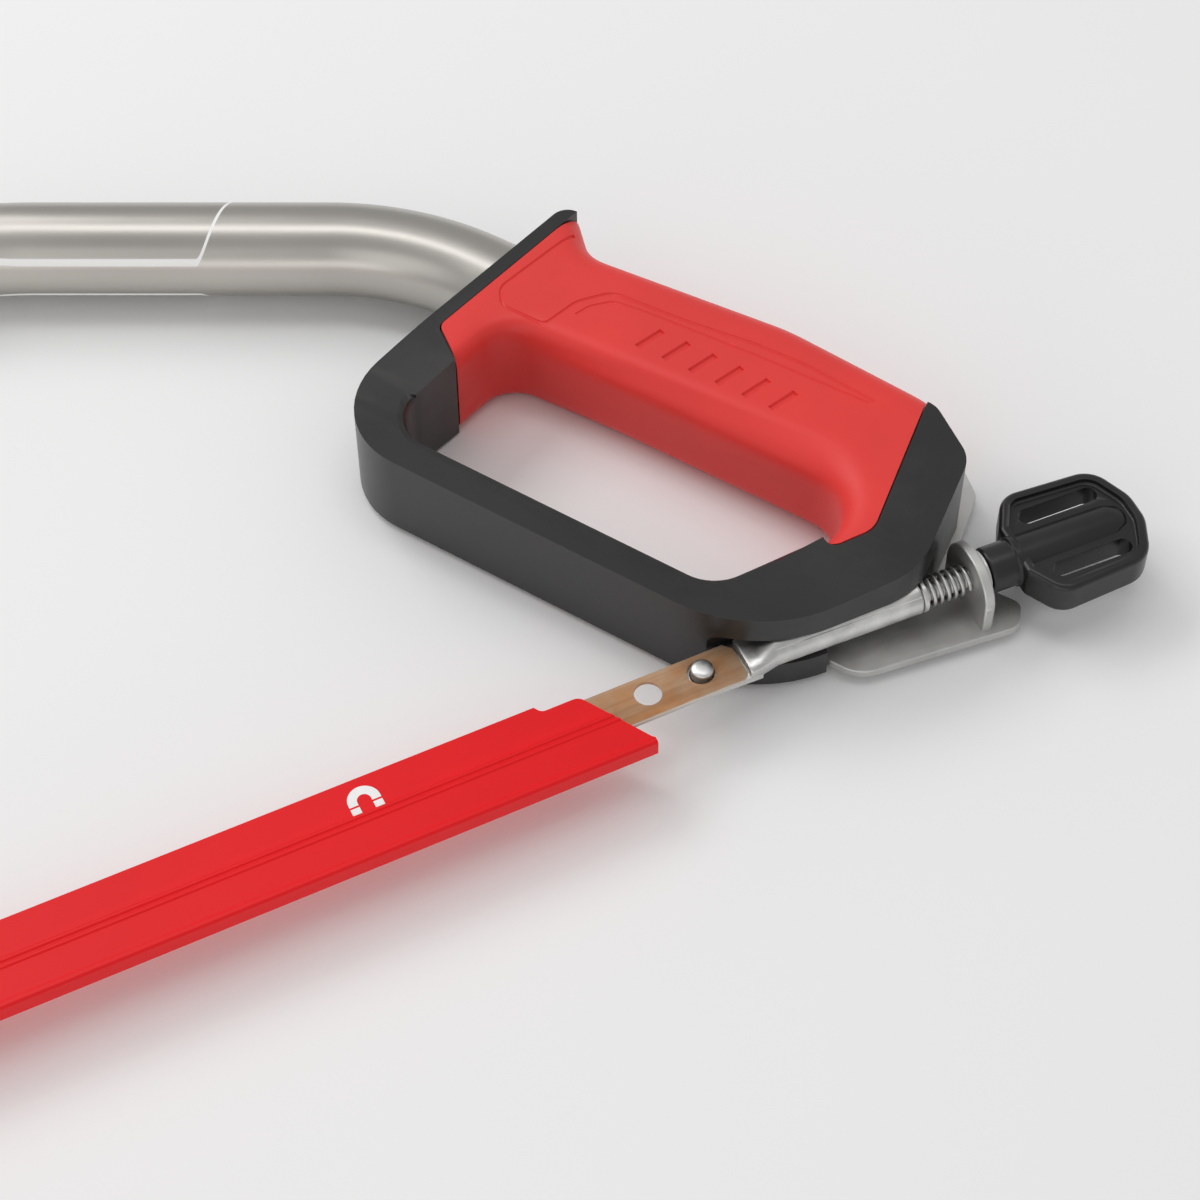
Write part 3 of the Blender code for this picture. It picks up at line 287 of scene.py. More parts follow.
def upright(profile, x, y, steps=ROUND):
    """Profile of (z, radius) points spun about a vertical axis through a plan point."""
    made = turned(profile, steps)
    bmesh.ops.rotate(made, verts=made.verts, matrix=Matrix.Rotation(-math.pi / 2, 3, "Y"))
    bmesh.ops.translate(made, verts=made.verts, vec=(x, y, 0))
    return made


def swept(points, radius, sides=10):
    """Round rod along a line of points, closed at both ends."""
    made = bmesh.new()
    loops = []
    for index, point in enumerate(points):
        ahead = (points[min(index + 1, len(points) - 1)]
                 - points[max(index - 1, 0)]).normalized()
        turn = Vector((0, 0, 1)).rotation_difference(ahead).to_matrix().to_4x4()
        ring = bmesh.ops.create_circle(made, cap_ends=index in (0, len(points) - 1),
                                       radius=radius, segments=sides,
                                       matrix=Matrix.Translation(point) @ turn)["verts"]
        loops.append([edge for edge in {edge for vert in ring for edge in vert.link_edges}])
    for first, second in zip(loops, loops[1:]):
        bmesh.ops.bridge_loops(made, edges=first + second)
    bmesh.ops.recalc_face_normals(made, faces=made.faces)
    return made


def solid(made, name="work"):
    """Puts a bmesh in an object that Booleans can work on."""
    bmesh.ops.remove_doubles(made, verts=made.verts, dist=FLAT)
    bmesh.ops.recalc_face_normals(made, faces=made.faces)
    mesh = bpy.data.meshes.new(name)
    made.to_mesh(mesh)
    made.free()
    work = bpy.data.objects.new(name, mesh)
    bpy.context.scene.collection.objects.link(work)
    return work


def bake_modifiers(work):
    """Replaces an object's mesh by what its modifiers make of it."""
    bpy.context.view_layer.update()
    result = bpy.data.meshes.new_from_object(
        work.evaluated_get(bpy.context.evaluated_depsgraph_get()))
    old = work.data
    work.modifiers.clear()
    work.data = result
    bpy.data.meshes.remove(old)


def combine(work, made, operation, crossed=False):
    """Joins or cuts with a solid; crossed allows for shapes that cross themselves."""
    tool = solid(made, "tool")
    modifier = work.modifiers.new(operation, "BOOLEAN")
    modifier.operation = operation
    modifier.object = tool
    modifier.solver = "EXACT"
    modifier.use_self = crossed
    bake_modifiers(work)
    bpy.data.objects.remove(tool, do_unlink=True)


def add(work, made):
    combine(work, made, "UNION")


def cut(work, made):
    combine(work, made, "DIFFERENCE")


def keep(work, made):
    combine(work, made, "INTERSECT")


def tilted(made):
    """Turns geometry drawn along X on to the tensioner's axis."""
    bmesh.ops.rotate(made, verts=made.verts, cent=(0, 0, 0), matrix=DRAW_TILT)
    return made


def finished(name, work, finish, body, replaces=(), crease=35.0, edge=0.0):
    """Gives a piece its name, finish and place in the frame, and rides it on a body."""
    if isinstance(work, bmesh.types.BMesh):
        work = solid(work)
    made = bmesh.new()
    made.from_mesh(work.data)
    bmesh.ops.remove_doubles(made, verts=made.verts, dist=0.001)
    bmesh.ops.dissolve_degenerate(made, edges=made.edges, dist=0.0005)
    bmesh.ops.scale(made, vec=(MM, MM, MM), verts=made.verts)
    bmesh.ops.translate(made, vec=ORIGIN, verts=made.verts)
    bmesh.ops.recalc_face_normals(made, faces=made.faces)
    made.to_mesh(work.data)
    made.free()
    work.name = name
    work.data.name = name
    work.data.materials.clear()
    work.data.materials.append(finish)
    if edge:
        softened = work.modifiers.new("softened edges", "BEVEL")
        softened.width = edge * MM
        softened.segments = 3
        softened.limit_method = "ANGLE"
        softened.angle_limit = math.radians(crease)
        softened.use_clamp_overlap = True
        bake_modifiers(work)
        work.data.name = name
    work.data.shade_smooth()
    work.data.set_sharp_from_angle(angle=math.radians(crease))
    even = work.modifiers.new("even normals", "WEIGHTED_NORMAL")
    even.keep_sharp = True
    bpy.context.view_layer.update()
    if body:
        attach(work, body)
    if replaces:
        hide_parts(*replaces)
    return work


# Shader groups

def socket(tree, direction, name, kind, value=None):
    made = tree.interface.new_socket(name=name, in_out=direction,
                                     socket_type="NodeSocket" + kind)
    if value is not None:
        made.default_value = value


def node(tree, kind, links=None, **values):
    """Adds a node, sets its properties, and fills its inputs by name or number."""
    made = tree.nodes.new("ShaderNode" + kind)
    for key, value in values.items():
        setattr(made, key, value)
    for key, value in (links or {}).items():
        if isinstance(value, bpy.types.NodeSocket):
            tree.links.new(value, made.inputs[key])
        else:
            made.inputs[key].default_value = value
    return made


def calc(tree, operation, *values):
    return node(tree, "Math", dict(enumerate(values)), operation=operation).outputs[0]


def spread(tree, value, low, high, to_low=0.0, to_high=1.0):
    """Maps a value from one range to another, eased at both ends."""
    made = node(tree, "MapRange", {"Value": value, "From Min": low, "From Max": high,
                                   "To Min": to_low, "To Max": to_high},
                interpolation_type="SMOOTHSTEP")
    return made.outputs["Result"]


def new_group(name, inputs, outputs):
    tree = bpy.data.node_groups.new(name, "ShaderNodeTree")
    for label, kind, value in inputs:
        socket(tree, "INPUT", label, kind, value)
    for label, kind in outputs:
        socket(tree, "OUTPUT", label, kind)
    return tree, tree.nodes.new("NodeGroupInput").outputs, tree.nodes.new(
        "NodeGroupOutput").inputs


def grain_group():
    """Fine grain, slow colour drift and handling marks on Object coordinates."""
    found = bpy.data.node_groups.get("Surface grain")
    if found:
        return found
    tree, given, made = new_group(
        "Surface grain",
        [("Grain size", "Float", 2500.0), ("Drift size", "Float", 22.0),
         ("Stretch", "Vector", (1.0, 1.0, 1.0))],
        [("Height", "Float"), ("Drift", "Float"), ("Marks", "Float")])
    place = node(tree, "TexCoord").outputs["Object"]
    stretched = node(tree, "VectorMath", {0: place, 1: given["Stretch"]},
                     operation="MULTIPLY").outputs[0]
    fine = node(tree, "TexNoise", {"Vector": stretched, "Scale": given["Grain size"],
                                   "Detail": 3.0, "Roughness": 0.6}).outputs["Fac"]
    drift = node(tree, "TexNoise", {"Vector": place, "Scale": given["Drift size"],
                                    "Detail": 4.0, "Roughness": 0.55}).outputs["Fac"]
    bent = node(tree, "VectorMath", {0: place, 1: (160.0, 900.0, 420.0)},
                operation="MULTIPLY").outputs[0]
    marks = node(tree, "TexNoise", {"Vector": bent, "Scale": 1.0, "Detail": 2.0,
                                    "Distortion": 0.6}).outputs["Fac"]
    tree.links.new(fine, made["Height"])
    tree.links.new(spread(tree, drift, 0.32, 0.68), made["Drift"])
    tree.links.new(spread(tree, marks, 0.60, 0.74), made["Marks"])
    return tree


def wear_group():
    """Mask of rubbed convex edges, broken up by noise."""
    found = bpy.data.node_groups.get("Edge wear")
    if found:
        return found
    tree, given, made = new_group(
        "Edge wear", [("Start", "Float", 0.53), ("End", "Float", 0.62),
                      ("Break up", "Float", 140.0)], [("Mask", "Float")])
    edge = node(tree, "NewGeometry").outputs["Pointiness"]
    place = node(tree, "TexCoord").outputs["Object"]
    noise = node(tree, "TexNoise", {"Vector": place, "Scale": given["Break up"],
                                    "Detail": 4.0}).outputs["Fac"]
    rubbed = calc(tree, "ADD", edge, calc(tree, "MULTIPLY", calc(tree, "SUBTRACT", noise, 0.5),
                                          0.10))
    mask = node(tree, "MapRange", {"Value": rubbed, "From Min": given["Start"],
                                   "From Max": given["End"]}).outputs["Result"]
    tree.links.new(mask, made["Mask"])
    return tree


def place_group(tree, group, **values):
    made = tree.nodes.new("ShaderNodeGroup")
    made.node_tree = group
    for key, value in values.items():
        made.inputs[key.replace("_", " ").capitalize()].default_value = value
    return made.outputs


def mixed(tree, share, first, second, blend="MIX"):
    """Mixes two colours, each a tuple or a socket."""
    made = tree.nodes.new("ShaderNodeMix")
    made.data_type = "RGBA"
    made.blend_type = blend
    for key, value in ((0, share), (6, first), (7, second)):
        if isinstance(value, bpy.types.NodeSocket):
            tree.links.new(value, made.inputs[key])
        elif key:
            made.inputs[key].default_value = (*value, 1.0)
        else:
            made.inputs[key].default_value = value
    return made.outputs[2]


def shade(colour, factor):
    return tuple(min(channel * factor, 1.0) for channel in colour)


def finish(name, colour, roughness, metallic=0.0, grain=2500.0, drift=22.0,
           stretch=(1.0, 1.0, 1.0), bump=0.05, depth=0.1, variation=0.08, rough_drift=0.06,
           marks=0.05, worn=None, worn_start=0.53, worn_end=0.62, extra=None, **shader_values):
    """Material with grain, colour drift, handling marks and edge wear from the two groups."""
    made = bpy.data.materials.get(name)
    if made:
        return made
    made = bpy.data.materials.new(name)
    made.use_nodes = True
    tree = made.node_tree
    shader = tree.nodes["Principled BSDF"]
    shader.inputs["Metallic"].default_value = metallic
    for key, value in shader_values.items():
        shader.inputs[key.replace("_", " ")].default_value = value
    surface = place_group(tree, grain_group(), grain_size=grain, drift_size=drift,
                          stretch=stretch)
    tone = mixed(tree, surface["Drift"], shade(colour, 1 - variation),
                 shade(colour, 1 + variation))
    rough = calc(tree, "ADD", roughness,
                 calc(tree, "MULTIPLY", calc(tree, "SUBTRACT", surface["Drift"], 0.5),
                      rough_drift))
    rough = calc(tree, "ADD", rough, calc(tree, "MULTIPLY", surface["Marks"], marks))
    if worn:
        mask = place_group(tree, wear_group(), start=worn_start, end=worn_end)["Mask"]
        tone = mixed(tree, mask, tone, worn)
        rough = calc(tree, "SUBTRACT", rough, calc(tree, "MULTIPLY", mask, 0.05))
    if extra:
        tone, rough = extra(tree, shader, tone, rough)
    tree.links.new(tone, shader.inputs["Base Color"])
    tree.links.new(rough, shader.inputs["Roughness"])
    bumped = node(tree, "Bump", {"Strength": bump, "Distance": depth * MM,
                                 "Height": surface["Height"]})
    tree.links.new(bumped.outputs["Normal"], shader.inputs["Normal"])
    return made


# Finishes

def tube_corners():
    """Corners of the tube's centre line from its tail in the grip to the nose."""
    rise = Vector((math.cos(math.radians(154.0)), math.sin(math.radians(154.0))))
    back = Vector((math.cos(math.radians(195.0)), math.sin(math.radians(195.0))))
    down = Vector((math.cos(math.radians(258.0)), math.sin(math.radians(258.0))))
    neck = grip_point(-25.0, 0.0)
    crown = neck + rise * 160.0
    foot = FRONT_PIN + Vector((7.0, 0.0))
    nose = crossing(crown, back, foot, down)
    tip = foot + down * (11.0 / -down.y)
    return grip_point(92.0, 0.0), neck, crown, nose, tip


LINE_MIDDLE = 86.0
LINE_TURN = 34.0
LINE_EASE = 6.0
LINE_REACH = 13.5
LINE_SETTLED = 11.0


def painted_line(tree, shader, tone, rough):
    """Thin line painted along the rise of the tube, with an S round it at both ends."""
    group = sizes("tube")
    neck, crown = tube_corners()[1:3]
    start = Vector((*neck, 0.0)) * MM + ORIGIN
    heading = math.atan2(crown.y - neck.y, crown.x - neck.x)
    place = node(tree, "TexCoord").outputs["Object"]
    turned_place = node(tree, "Mapping", {
        "Vector": place, "Location": start, "Rotation": (0.0, 0.0, heading)},
        vector_type="TEXTURE").outputs[0]
    split = node(tree, "SeparateXYZ", {0: turned_place}).outputs
    half = group.stripe / 2
    reach = calc(tree, "ABSOLUTE", calc(tree, "SUBTRACT", split["X"], LINE_MIDDLE * MM))
    curve = spread(tree, reach, (LINE_TURN - LINE_EASE) * MM, (LINE_TURN + LINE_EASE) * MM,
                   LINE_SETTLED * MM, -LINE_REACH * MM)
    away = calc(tree, "ABSOLUTE", calc(tree, "SUBTRACT", split["Y"], curve))
    turn = calc(tree, "ABSOLUTE", calc(tree, "SUBTRACT", reach, LINE_TURN * MM))
    slope = spread(tree, turn, 0.0, LINE_EASE * MM, 2.6, 1.0)
    line = spread(tree, calc(tree, "DIVIDE", away, slope), half * 0.8, half * 1.2, 1.0, 0.0)
    inside_run = calc(tree, "LESS_THAN", reach, (LINE_TURN + LINE_EASE) * MM)
    mask = calc(tree, "MULTIPLY", line, inside_run)
    tree.links.new(calc(tree, "SUBTRACT", 1.0, mask), shader.inputs["Metallic"])
    tone = mixed(tree, mask, tone, tuple(group.stripe_colour))
    return tone, calc(tree, "ADD", rough, calc(tree, "MULTIPLY", mask, 0.1))


def satin_tube():
    colour = tuple(sizes("tube").colour)
    return finish("satin tube", colour, 0.33, 1.0, grain=3200.0, drift=9.0, bump=0.10,
                  depth=0.05, variation=0.035, rough_drift=0.05, marks=0.02,
                  extra=painted_line)


def blasted_steel():
    colour = tuple(sizes("tensioner").plate)
    return finish("blasted steel", colour, 0.46, 0.85, grain=2600.0, drift=60.0, bump=0.55,
                  depth=0.09, variation=0.10, rough_drift=0.1, marks=0.06,
                  worn=shade(colour, 1.35))


def plated_steel():
    colour = tuple(sizes("tensioner").steel)
    return finish("plated steel", colour, 0.38, 1.0, grain=900.0, drift=130.0,
                  stretch=(0.25, 2.0, 2.0), bump=0.25, depth=0.05, variation=0.14,
                  rough_drift=0.18, marks=0.12)


def spring_steel():
    colour = shade(tuple(sizes("tensioner").steel), 0.9)
    return finish("spring steel", colour, 0.36, 1.0, grain=1500.0, drift=200.0, bump=0.15,
                  depth=0.03, variation=0.1, rough_drift=0.1)


def moulded_black():
    colour = tuple(sizes("handle").body_colour)
    return finish("black moulding", colour, 0.34, grain=1900.0, drift=14.0, bump=0.32,
                  depth=0.05, variation=0.14, rough_drift=0.05, marks=0.03,
                  worn=(0.030, 0.028, 0.027), Specular_IOR_Level=0.55)


def knob_black():
    colour = shade(tuple(sizes("handle").body_colour), 0.9)
    return finish("knob moulding", colour, 0.30, grain=1500.0, drift=40.0, bump=0.30,
                  depth=0.06, variation=0.15, rough_drift=0.08, marks=0.05,
                  worn=(0.05, 0.05, 0.05))


def soft_red():
    colour = tuple(sizes("handle").grip_colour)
    return finish("soft grip", colour, 0.50, grain=2400.0, drift=16.0, bump=0.16, depth=0.05,
                  variation=0.05, rough_drift=0.06, marks=0.02,
                  worn=shade(colour, 1.12), worn_start=0.56, worn_end=0.7,
                  Sheen_Weight=0.08, Sheen_Roughness=0.5, Subsurface_Weight=0.06,
                  Subsurface_Radius=(0.004, 0.001, 0.001), Subsurface_Scale=0.5)


def gloss_red():
    colour = tuple(sizes("guard").colour)
    return finish("guard plastic", colour, 0.36, grain=700.0, drift=10.0, bump=0.06,
                  depth=0.05, variation=0.035, rough_drift=0.06, marks=0.05,
                  worn=shade(colour, 1.2), worn_start=0.55, worn_end=0.7,
                  Specular_IOR_Level=0.25)


def printed_white():
    colour = tuple(sizes("guard").sign_colour)
    return finish("printed white", colour, 0.4, grain=2600.0, drift=200.0, bump=0.1,
                  depth=0.02, variation=0.03)


def ground_edge(tree, shader, tone, rough):
    """Bare ground steel along the blade's lower edge and teeth."""
    place = node(tree, "SeparateXYZ", {0: node(tree, "TexCoord").outputs["Object"]})
    noise = node(tree, "TexNoise", {"Scale": 90.0, "Detail": 5.0}).outputs["Fac"]
    level = calc(tree, "ADD", place.outputs["Y"],
                 calc(tree, "MULTIPLY", calc(tree, "SUBTRACT", noise, 0.5), 0.9 * MM))
    mask = spread(tree, level, ORIGIN.y - 6.9 * MM, ORIGIN.y - 6.3 * MM, 1.0, 0.0)
    tone = mixed(tree, mask, tone, (0.62, 0.58, 0.53))
    streak = node(tree, "TexNoise", {
        "Vector": node(tree, "Mapping", {"Vector": node(tree, "TexCoord").outputs["Object"],
                                         "Scale": (30.0, 700.0, 30.0)}).outputs[0],
        "Scale": 1.0, "Detail": 3.0}).outputs["Fac"]
    tone = mixed(tree, spread(tree, streak, 0.4, 0.7, 0.0, 0.35), tone, (0.22, 0.085, 0.022))
    return tone, rough


def lacquered_blade():
    colour = tuple(sizes("blade").lacquer)
    return finish("lacquered blade", colour, 0.38, 0.35, grain=1400.0, drift=45.0,
                  stretch=(0.3, 1.5, 1.0), bump=0.12, depth=0.03, variation=0.16,
                  rough_drift=0.12, marks=0.1, worn=(0.55, 0.42, 0.30), extra=ground_edge,
                  Coat_Weight=0.35, Coat_Roughness=0.18)


def ferrite():
    return finish("ferrite", (0.065, 0.063, 0.066), 0.48, 0.3, grain=1500.0, drift=120.0,
                  bump=0.3, depth=0.06, variation=0.2, worn=(0.2, 0.2, 0.2))


# Frame tube

def tube_shell(made, radius, growth):
    """One wall of the tube, swept along its bends, its ends pressed out of round."""
    corners = tube_corners()
    group = sizes("tube")
    others = set(made.verts)
    bends = [group.neck_bend / MM, group.crown_bend / MM, group.nose_bend / MM]
    heading = (corners[1] - corners[0]).normalized()
    turn = Matrix(((-heading.y, 0, heading.x, corners[0].x),
                   (heading.x, 0, heading.y, corners[0].y), (0, 1, 0, 0), (0, 0, 0, 1)))
    half_step = Matrix.Rotation(math.pi / ROUND, 4, "Z")
    ring = bmesh.ops.create_circle(made, cap_ends=False, radius=radius + growth,
                                   segments=ROUND, matrix=turn @ half_step)["verts"]
    first = list({edge for vert in ring for edge in vert.link_edges})
    edges = first
    place = corners[0]
    for index, bend in enumerate(bends, 1):
        before = (corners[index - 1] - corners[index]).normalized()
        after = (corners[index + 1] - corners[index]).normalized()
        half = before.angle(after) / 2
        setback = bend / math.tan(half)
        start = corners[index] + before * setback
        pieces = [start - place]
        if index == 1:
            run = (start - place).length
            taper = -before
            pieces = ([taper * TAIL_FLAT] + [taper * (TAIL_TAPER / 8)] * 8
                      + [taper * (run - (TAIL_FLAT + TAIL_TAPER))])
        for piece in pieces:
            edges = pulled(made, edges, piece)
        centre = corners[index] + (before + after).normalized() * (bend / math.sin(half))
        side = math.copysign(1.0, before.y * after.x - before.x * after.y)
        sweep = math.pi - 2 * half
        verts = list({vert for edge in edges for vert in edge.verts})
        spun = bmesh.ops.spin(made, geom=verts + edges, cent=(*centre, 0.0),
                              axis=(0, 0, side), angle=sweep,
                              steps=max(6, round(math.degrees(sweep) / 1.5)),
                              use_merge=False, use_duplicate=False)
        edges = [item for item in spun["geom_last"] if isinstance(item, bmesh.types.BMEdge)]
        place = corners[index] + after * setback
    down = (corners[-1] - place).normalized()
    run = (corners[-1] - place).length
    for reach in ([run - (NOSE_FLAT + NOSE_TAPER)] + [NOSE_TAPER / 12] * 12
                  + [NOSE_FLAT / 2] * 2):
        edges = pulled(made, edges, down * reach)
    press_ends([vert for vert in made.verts if vert not in others], radius, growth)
    return first, edges


def pulled(made, edges, step):
    """Extrudes a ring of edges by a step in the plan and returns the new ring."""
    result = bmesh.ops.extrude_edge_only(made, edges=edges)
    bmesh.ops.translate(made, verts=picked(result, bmesh.types.BMVert), vec=(*step, 0.0))
    return picked(result, bmesh.types.BMEdge)


def press_ends(verts, radius, growth):
    """Presses the tail oval and the nose flat."""
    tail, neck, _, nose, tip = tube_corners()
    ends = [(tail, (neck - tail).normalized(), TAIL_FLAT, TAIL_TAPER, 10.2),
            (tip, (nose - tip).normalized(), NOSE_FLAT, NOSE_TAPER, 2.6)]
    for end, inward, flat, taper, thin in ends:
        deep = radius + (radius - thin) * (math.pi / 2 - 1)
        across = Vector((-inward.y, inward.x))
        for vert in verts:
            away = vert.co.xy - end
            along = away.dot(inward)
            if along > flat + taper or along < -1.0 or abs(away.dot(across)) > 30.0:
                continue
            share = eased((along - flat) / taper)
            half_thick = thin + (radius - thin) * share
            half_deep = deep + (radius - deep) * share
            angle = math.atan2(vert.co.z, away.dot(across))
            straight = math.copysign(half_deep - half_thick, math.cos(angle))
            out = straight + (half_thick + growth) * math.cos(angle)
            centre = end + inward * along
            vert.co = (*(centre + across * out), (half_thick + growth) * math.sin(angle))


def make_tube():
    group = sizes("tube")
    radius = group.diameter / 2 / MM
    made = bmesh.new()
    outer = tube_shell(made, radius, 0.0)
    inner = tube_shell(made, radius, -group.wall / MM)
    for first, second in zip(outer, inner):
        bmesh.ops.bridge_loops(made, edges=list(first) + list(second))
    work = solid(made)
    front = FRONT_PIN.x
    slot = rounded([((front - 45, -30), 0.0), ((front + 45, -30), 0.0),
                    ((front + 45, 11.2), 1.5), ((front - 45, 11.2), 1.5)])
    cut(work, slab(slot, -1.0, 1.0))
    half = PIN_ROOM
    hook = [FRONT_PIN + Vector((-40, half + 4.5)), FRONT_PIN + Vector((-40, -half - 4.5))]
    hook += [FRONT_PIN + Matrix.Rotation(math.pi * step / 24, 2) @ Vector((0.0, -half))
             for step in range(25)]
    cut(work, slab(hook, -10.0, 10.0))
    finished("tube", work, satin_tube(), "frame", ["frame_tube"],
             crease=40.0)


# Handle

def body_outline():
    """Plan outline of the black moulding; the last corners go round the opening."""
    front_tip = slanted(COLLAR_FACE, 23.5)
    front = (slanted(COLLAR_FACE, 0.0) - front_tip).normalized()
    knuckle = grip_point(0.0, KNUCKLE)
    level = Vector((1.0, 0.0))
    front_corner = crossing(front_tip, front, knuckle, GRIP_ALONG)
    lower_corner = crossing(knuckle, GRIP_ALONG, Vector((0.0, -5.0)), level)
    knuckle_inner = grip_point(0.0, KNUCKLE_INNER)
    open_low = crossing(knuckle_inner, GRIP_ALONG, Vector((0.0, BAR_TOP)), level)
    open_front = crossing(knuckle_inner, GRIP_ALONG, slanted(OPENING_FRONT, 0.0), front)
    return rounded([
        (front_tip, 5.0), (front_corner, 22.0), (lower_corner, 40.0), ((57.3, -5.0), 22.0),
        ((86.0, 20.5), 10.0), ((87.2, 41.5), 7.0), ((75.0, 48.0), 5.0), ((52.0, 19.0), 5.0),
        ((46.0, BAR_TOP), 0.0), (open_low, 12.0), (open_front, 10.0),
        (slanted(OPENING_FRONT, -13.2), 0.0), (slanted(17.0, 23.5), 5.0)])


def grip_outline():
    """Plan outline of the soft grip, run on past the edges that are trimmed off it."""
    heel = crossing(grip_point(0.0, -GRIP_DEPTH), GRIP_ALONG, Vector((0.0, 14.8)),
                    Vector((1.0, 0.0)))
    return rounded([
        (slanted(1.0, 22.0), 0.0), (slanted(1.0, -44.0), 0.0), (slanted(21.0, -44.0), 0.0),
        (slanted(21.0, -GRIP_DEPTH), 9.0), (heel, 14.0), ((36.0, 14.8), 0.0), ((36.0, -8.0), 0.0),
        ((110.0, -8.0), 0.0), (grip_point(150.0, 13.0), 0.0), (grip_point(122.0, 17.6), 14.0),
        (grip_point(82.0, 20.1), 60.0), (grip_point(23.2, 14.6), 10.0),
        (grip_point(11.2, 26.8), 4.5)])


def red_outline(growth=0.0):
    """Plan region that the soft material covers."""
    return rounded([
        (slanted(SEAM - growth, 39.2), 0.0), (slanted(SEAM - growth, -30.5 - growth), 3.0),
        (grip_point(14.8 - growth, -37.6 - growth), 4.0),
        (grip_point(25.0, -41.0 - growth), 0.0), ((41.0 - growth, 29.0), 0.0),
        ((41.0 - growth, 11.0 - growth), 3.0), ((53.0 + growth / 2, 11.0 - growth), 8.0),
        ((89.0 + growth, 45.0 - growth), 0.0), ((99.0, 62.0), 0.0)])


def rounding_share(point):
    """How much of the grip's full rounding its rim has at a plan point."""
    away = point - COLLAR
    along, out = away.dot(GRIP_ALONG), away.dot(GRIP_OUT)
    if point.y < 12.0 or along - FRONT_SLANT * out < 8.0:
        return 0.0
    if out > 0:
        return 0.62
    return 0.4 + 0.6 * eased((along - 24.0) / 20.0) * eased((132.0 - along) / 26.0)


def grip_envelope():
    """Rounded shape of the soft grip before its edges are trimmed."""
    group = sizes("handle")
    half = group.grip_half / MM
    work = solid(slab(grip_outline(), -half, half), "envelope")
    weights = work.data.attributes.new("bevel_weight_edge", "FLOAT", "EDGE")
    for edge in work.data.edges:
        first, second = (work.data.vertices[index].co for index in edge.vertices)
        if abs(first.z - second.z) < FLAT:
            weights.data[edge.index].value = rounding_share((first.xy + second.xy) / 2)
    soften = work.modifiers.new("rounded rims", "BEVEL")
    soften.limit_method = "WEIGHT"
    soften.width = group.under_round / MM
    soften.segments = 14
    soften.use_clamp_overlap = False
    remesh = work.modifiers.new("even faces", "REMESH")
    remesh.mode = "VOXEL"
    remesh.voxel_size = 0.85
    relax = work.modifiers.new("relaxed", "SMOOTH")
    relax.factor = 0.5
    relax.iterations = 14
    bake_modifiers(work)
    return work


def groove():
    """Groove under the lower bar that the draw bar slides in."""
    half = 5.2
    made = slab([(-30, -half), (140, -half), (140, half), (-30, half)], -40, 0)
    rim = [edge for edge in made.edges if all(vert.co.z > -1 for vert in edge.verts)
           and abs(edge.verts[0].co.x - edge.verts[1].co.x) > 1]
    bevel(made, rim, 3.2, 8)
    bmesh.ops.rotate(made, verts=made.verts, cent=(0, 0, 0),
                     matrix=Matrix.Rotation(-math.pi / 2, 3, "X"))
    bmesh.ops.translate(made, verts=made.verts, vec=(0, 6.9, 0))
    return tilted(made)


def far_side_room():
    """Room below the groove, where the steel plate takes the moulding's place."""
    return tilted(slab([(33, -40), (140, -40), (140, 4), (33, 4)], -40, -2.3))


def bracket_outline():
    return rounded([
        ((29.5, 12.2), 3.0), ((29.5, 3.0), 3.0), ((38.5, -11.5), 10.0), ((82.6, -16.0), 5.0),
        ((86.6, -9.5), 3.0), ((80.0, 0.0), 6.0), ((80.0, 12.0), 6.0), ((94.0, 25.5), 6.0),
        ((95.5, 36.0), 5.0), ((90.0, 41.5), 4.0), ((55.5, 8.3), 6.0), ((42.5, 8.3), 2.0),
        ((39.5, 12.2), 2.0)])


SCREW_PLACES = [(34.6, 7.6), (65.0, 11.0), (83.0, 28.4)]


def core(growth):
    """Oval core of the black moulding inside the soft grip."""
    made = bmesh.new()
    start, end = grip_point(7.7, 0.0), grip_point(118.0, 0.0)
    turn = Matrix(((GRIP_OUT.x, 0, GRIP_ALONG.x, start.x),
                   (GRIP_OUT.y, 0, GRIP_ALONG.y, start.y), (0, 1, 0, 0), (0, 0, 0, 1)))
    size = Matrix.Diagonal((15.4 + growth, 12.0 + growth, 1.0, 1.0))
    bmesh.ops.create_circle(made, cap_ends=True, radius=1.0, segments=ROUND,
                            matrix=turn @ size)
    raised = bmesh.ops.extrude_face_region(made, geom=list(made.faces))
    bmesh.ops.translate(made, verts=picked(raised, bmesh.types.BMVert),
                        vec=(*(end - start), 0.0))
    bmesh.ops.recalc_face_normals(made, faces=made.faces)
    return made


def tube_room():
    """Room for the tube in the handle."""
    made = bmesh.new()
    group = sizes("tube")
    first, last = tube_shell(made, group.diameter / 2 / MM, GAP)
    for ring in (first, last):
        bmesh.ops.holes_fill(made, edges=list(ring), sides=0)
    far = [vert for vert in made.verts if vert.co.x < -60]
    bmesh.ops.delete(made, geom=far, context="VERTS")
    bmesh.ops.holes_fill(made, edges=[edge for edge in made.edges if edge.is_boundary],
                         sides=0)
    return made


def body_half_at(out):
    """Half thickness of the moulding: full by the grip, less at the knuckle."""
    group = sizes("handle")
    share = min(max((out - EASE_START) / EASE_RUN, 0.0), 1.0) * EASE_STEPS
    low = min(int(share), EASE_STEPS - 1)
    first, second = eased(low / EASE_STEPS), eased((low + 1) / EASE_STEPS)
    rise = first + (second - first) * (share - low)
    return (group.knuckle_half + (group.body_half - group.knuckle_half) * rise) / MM


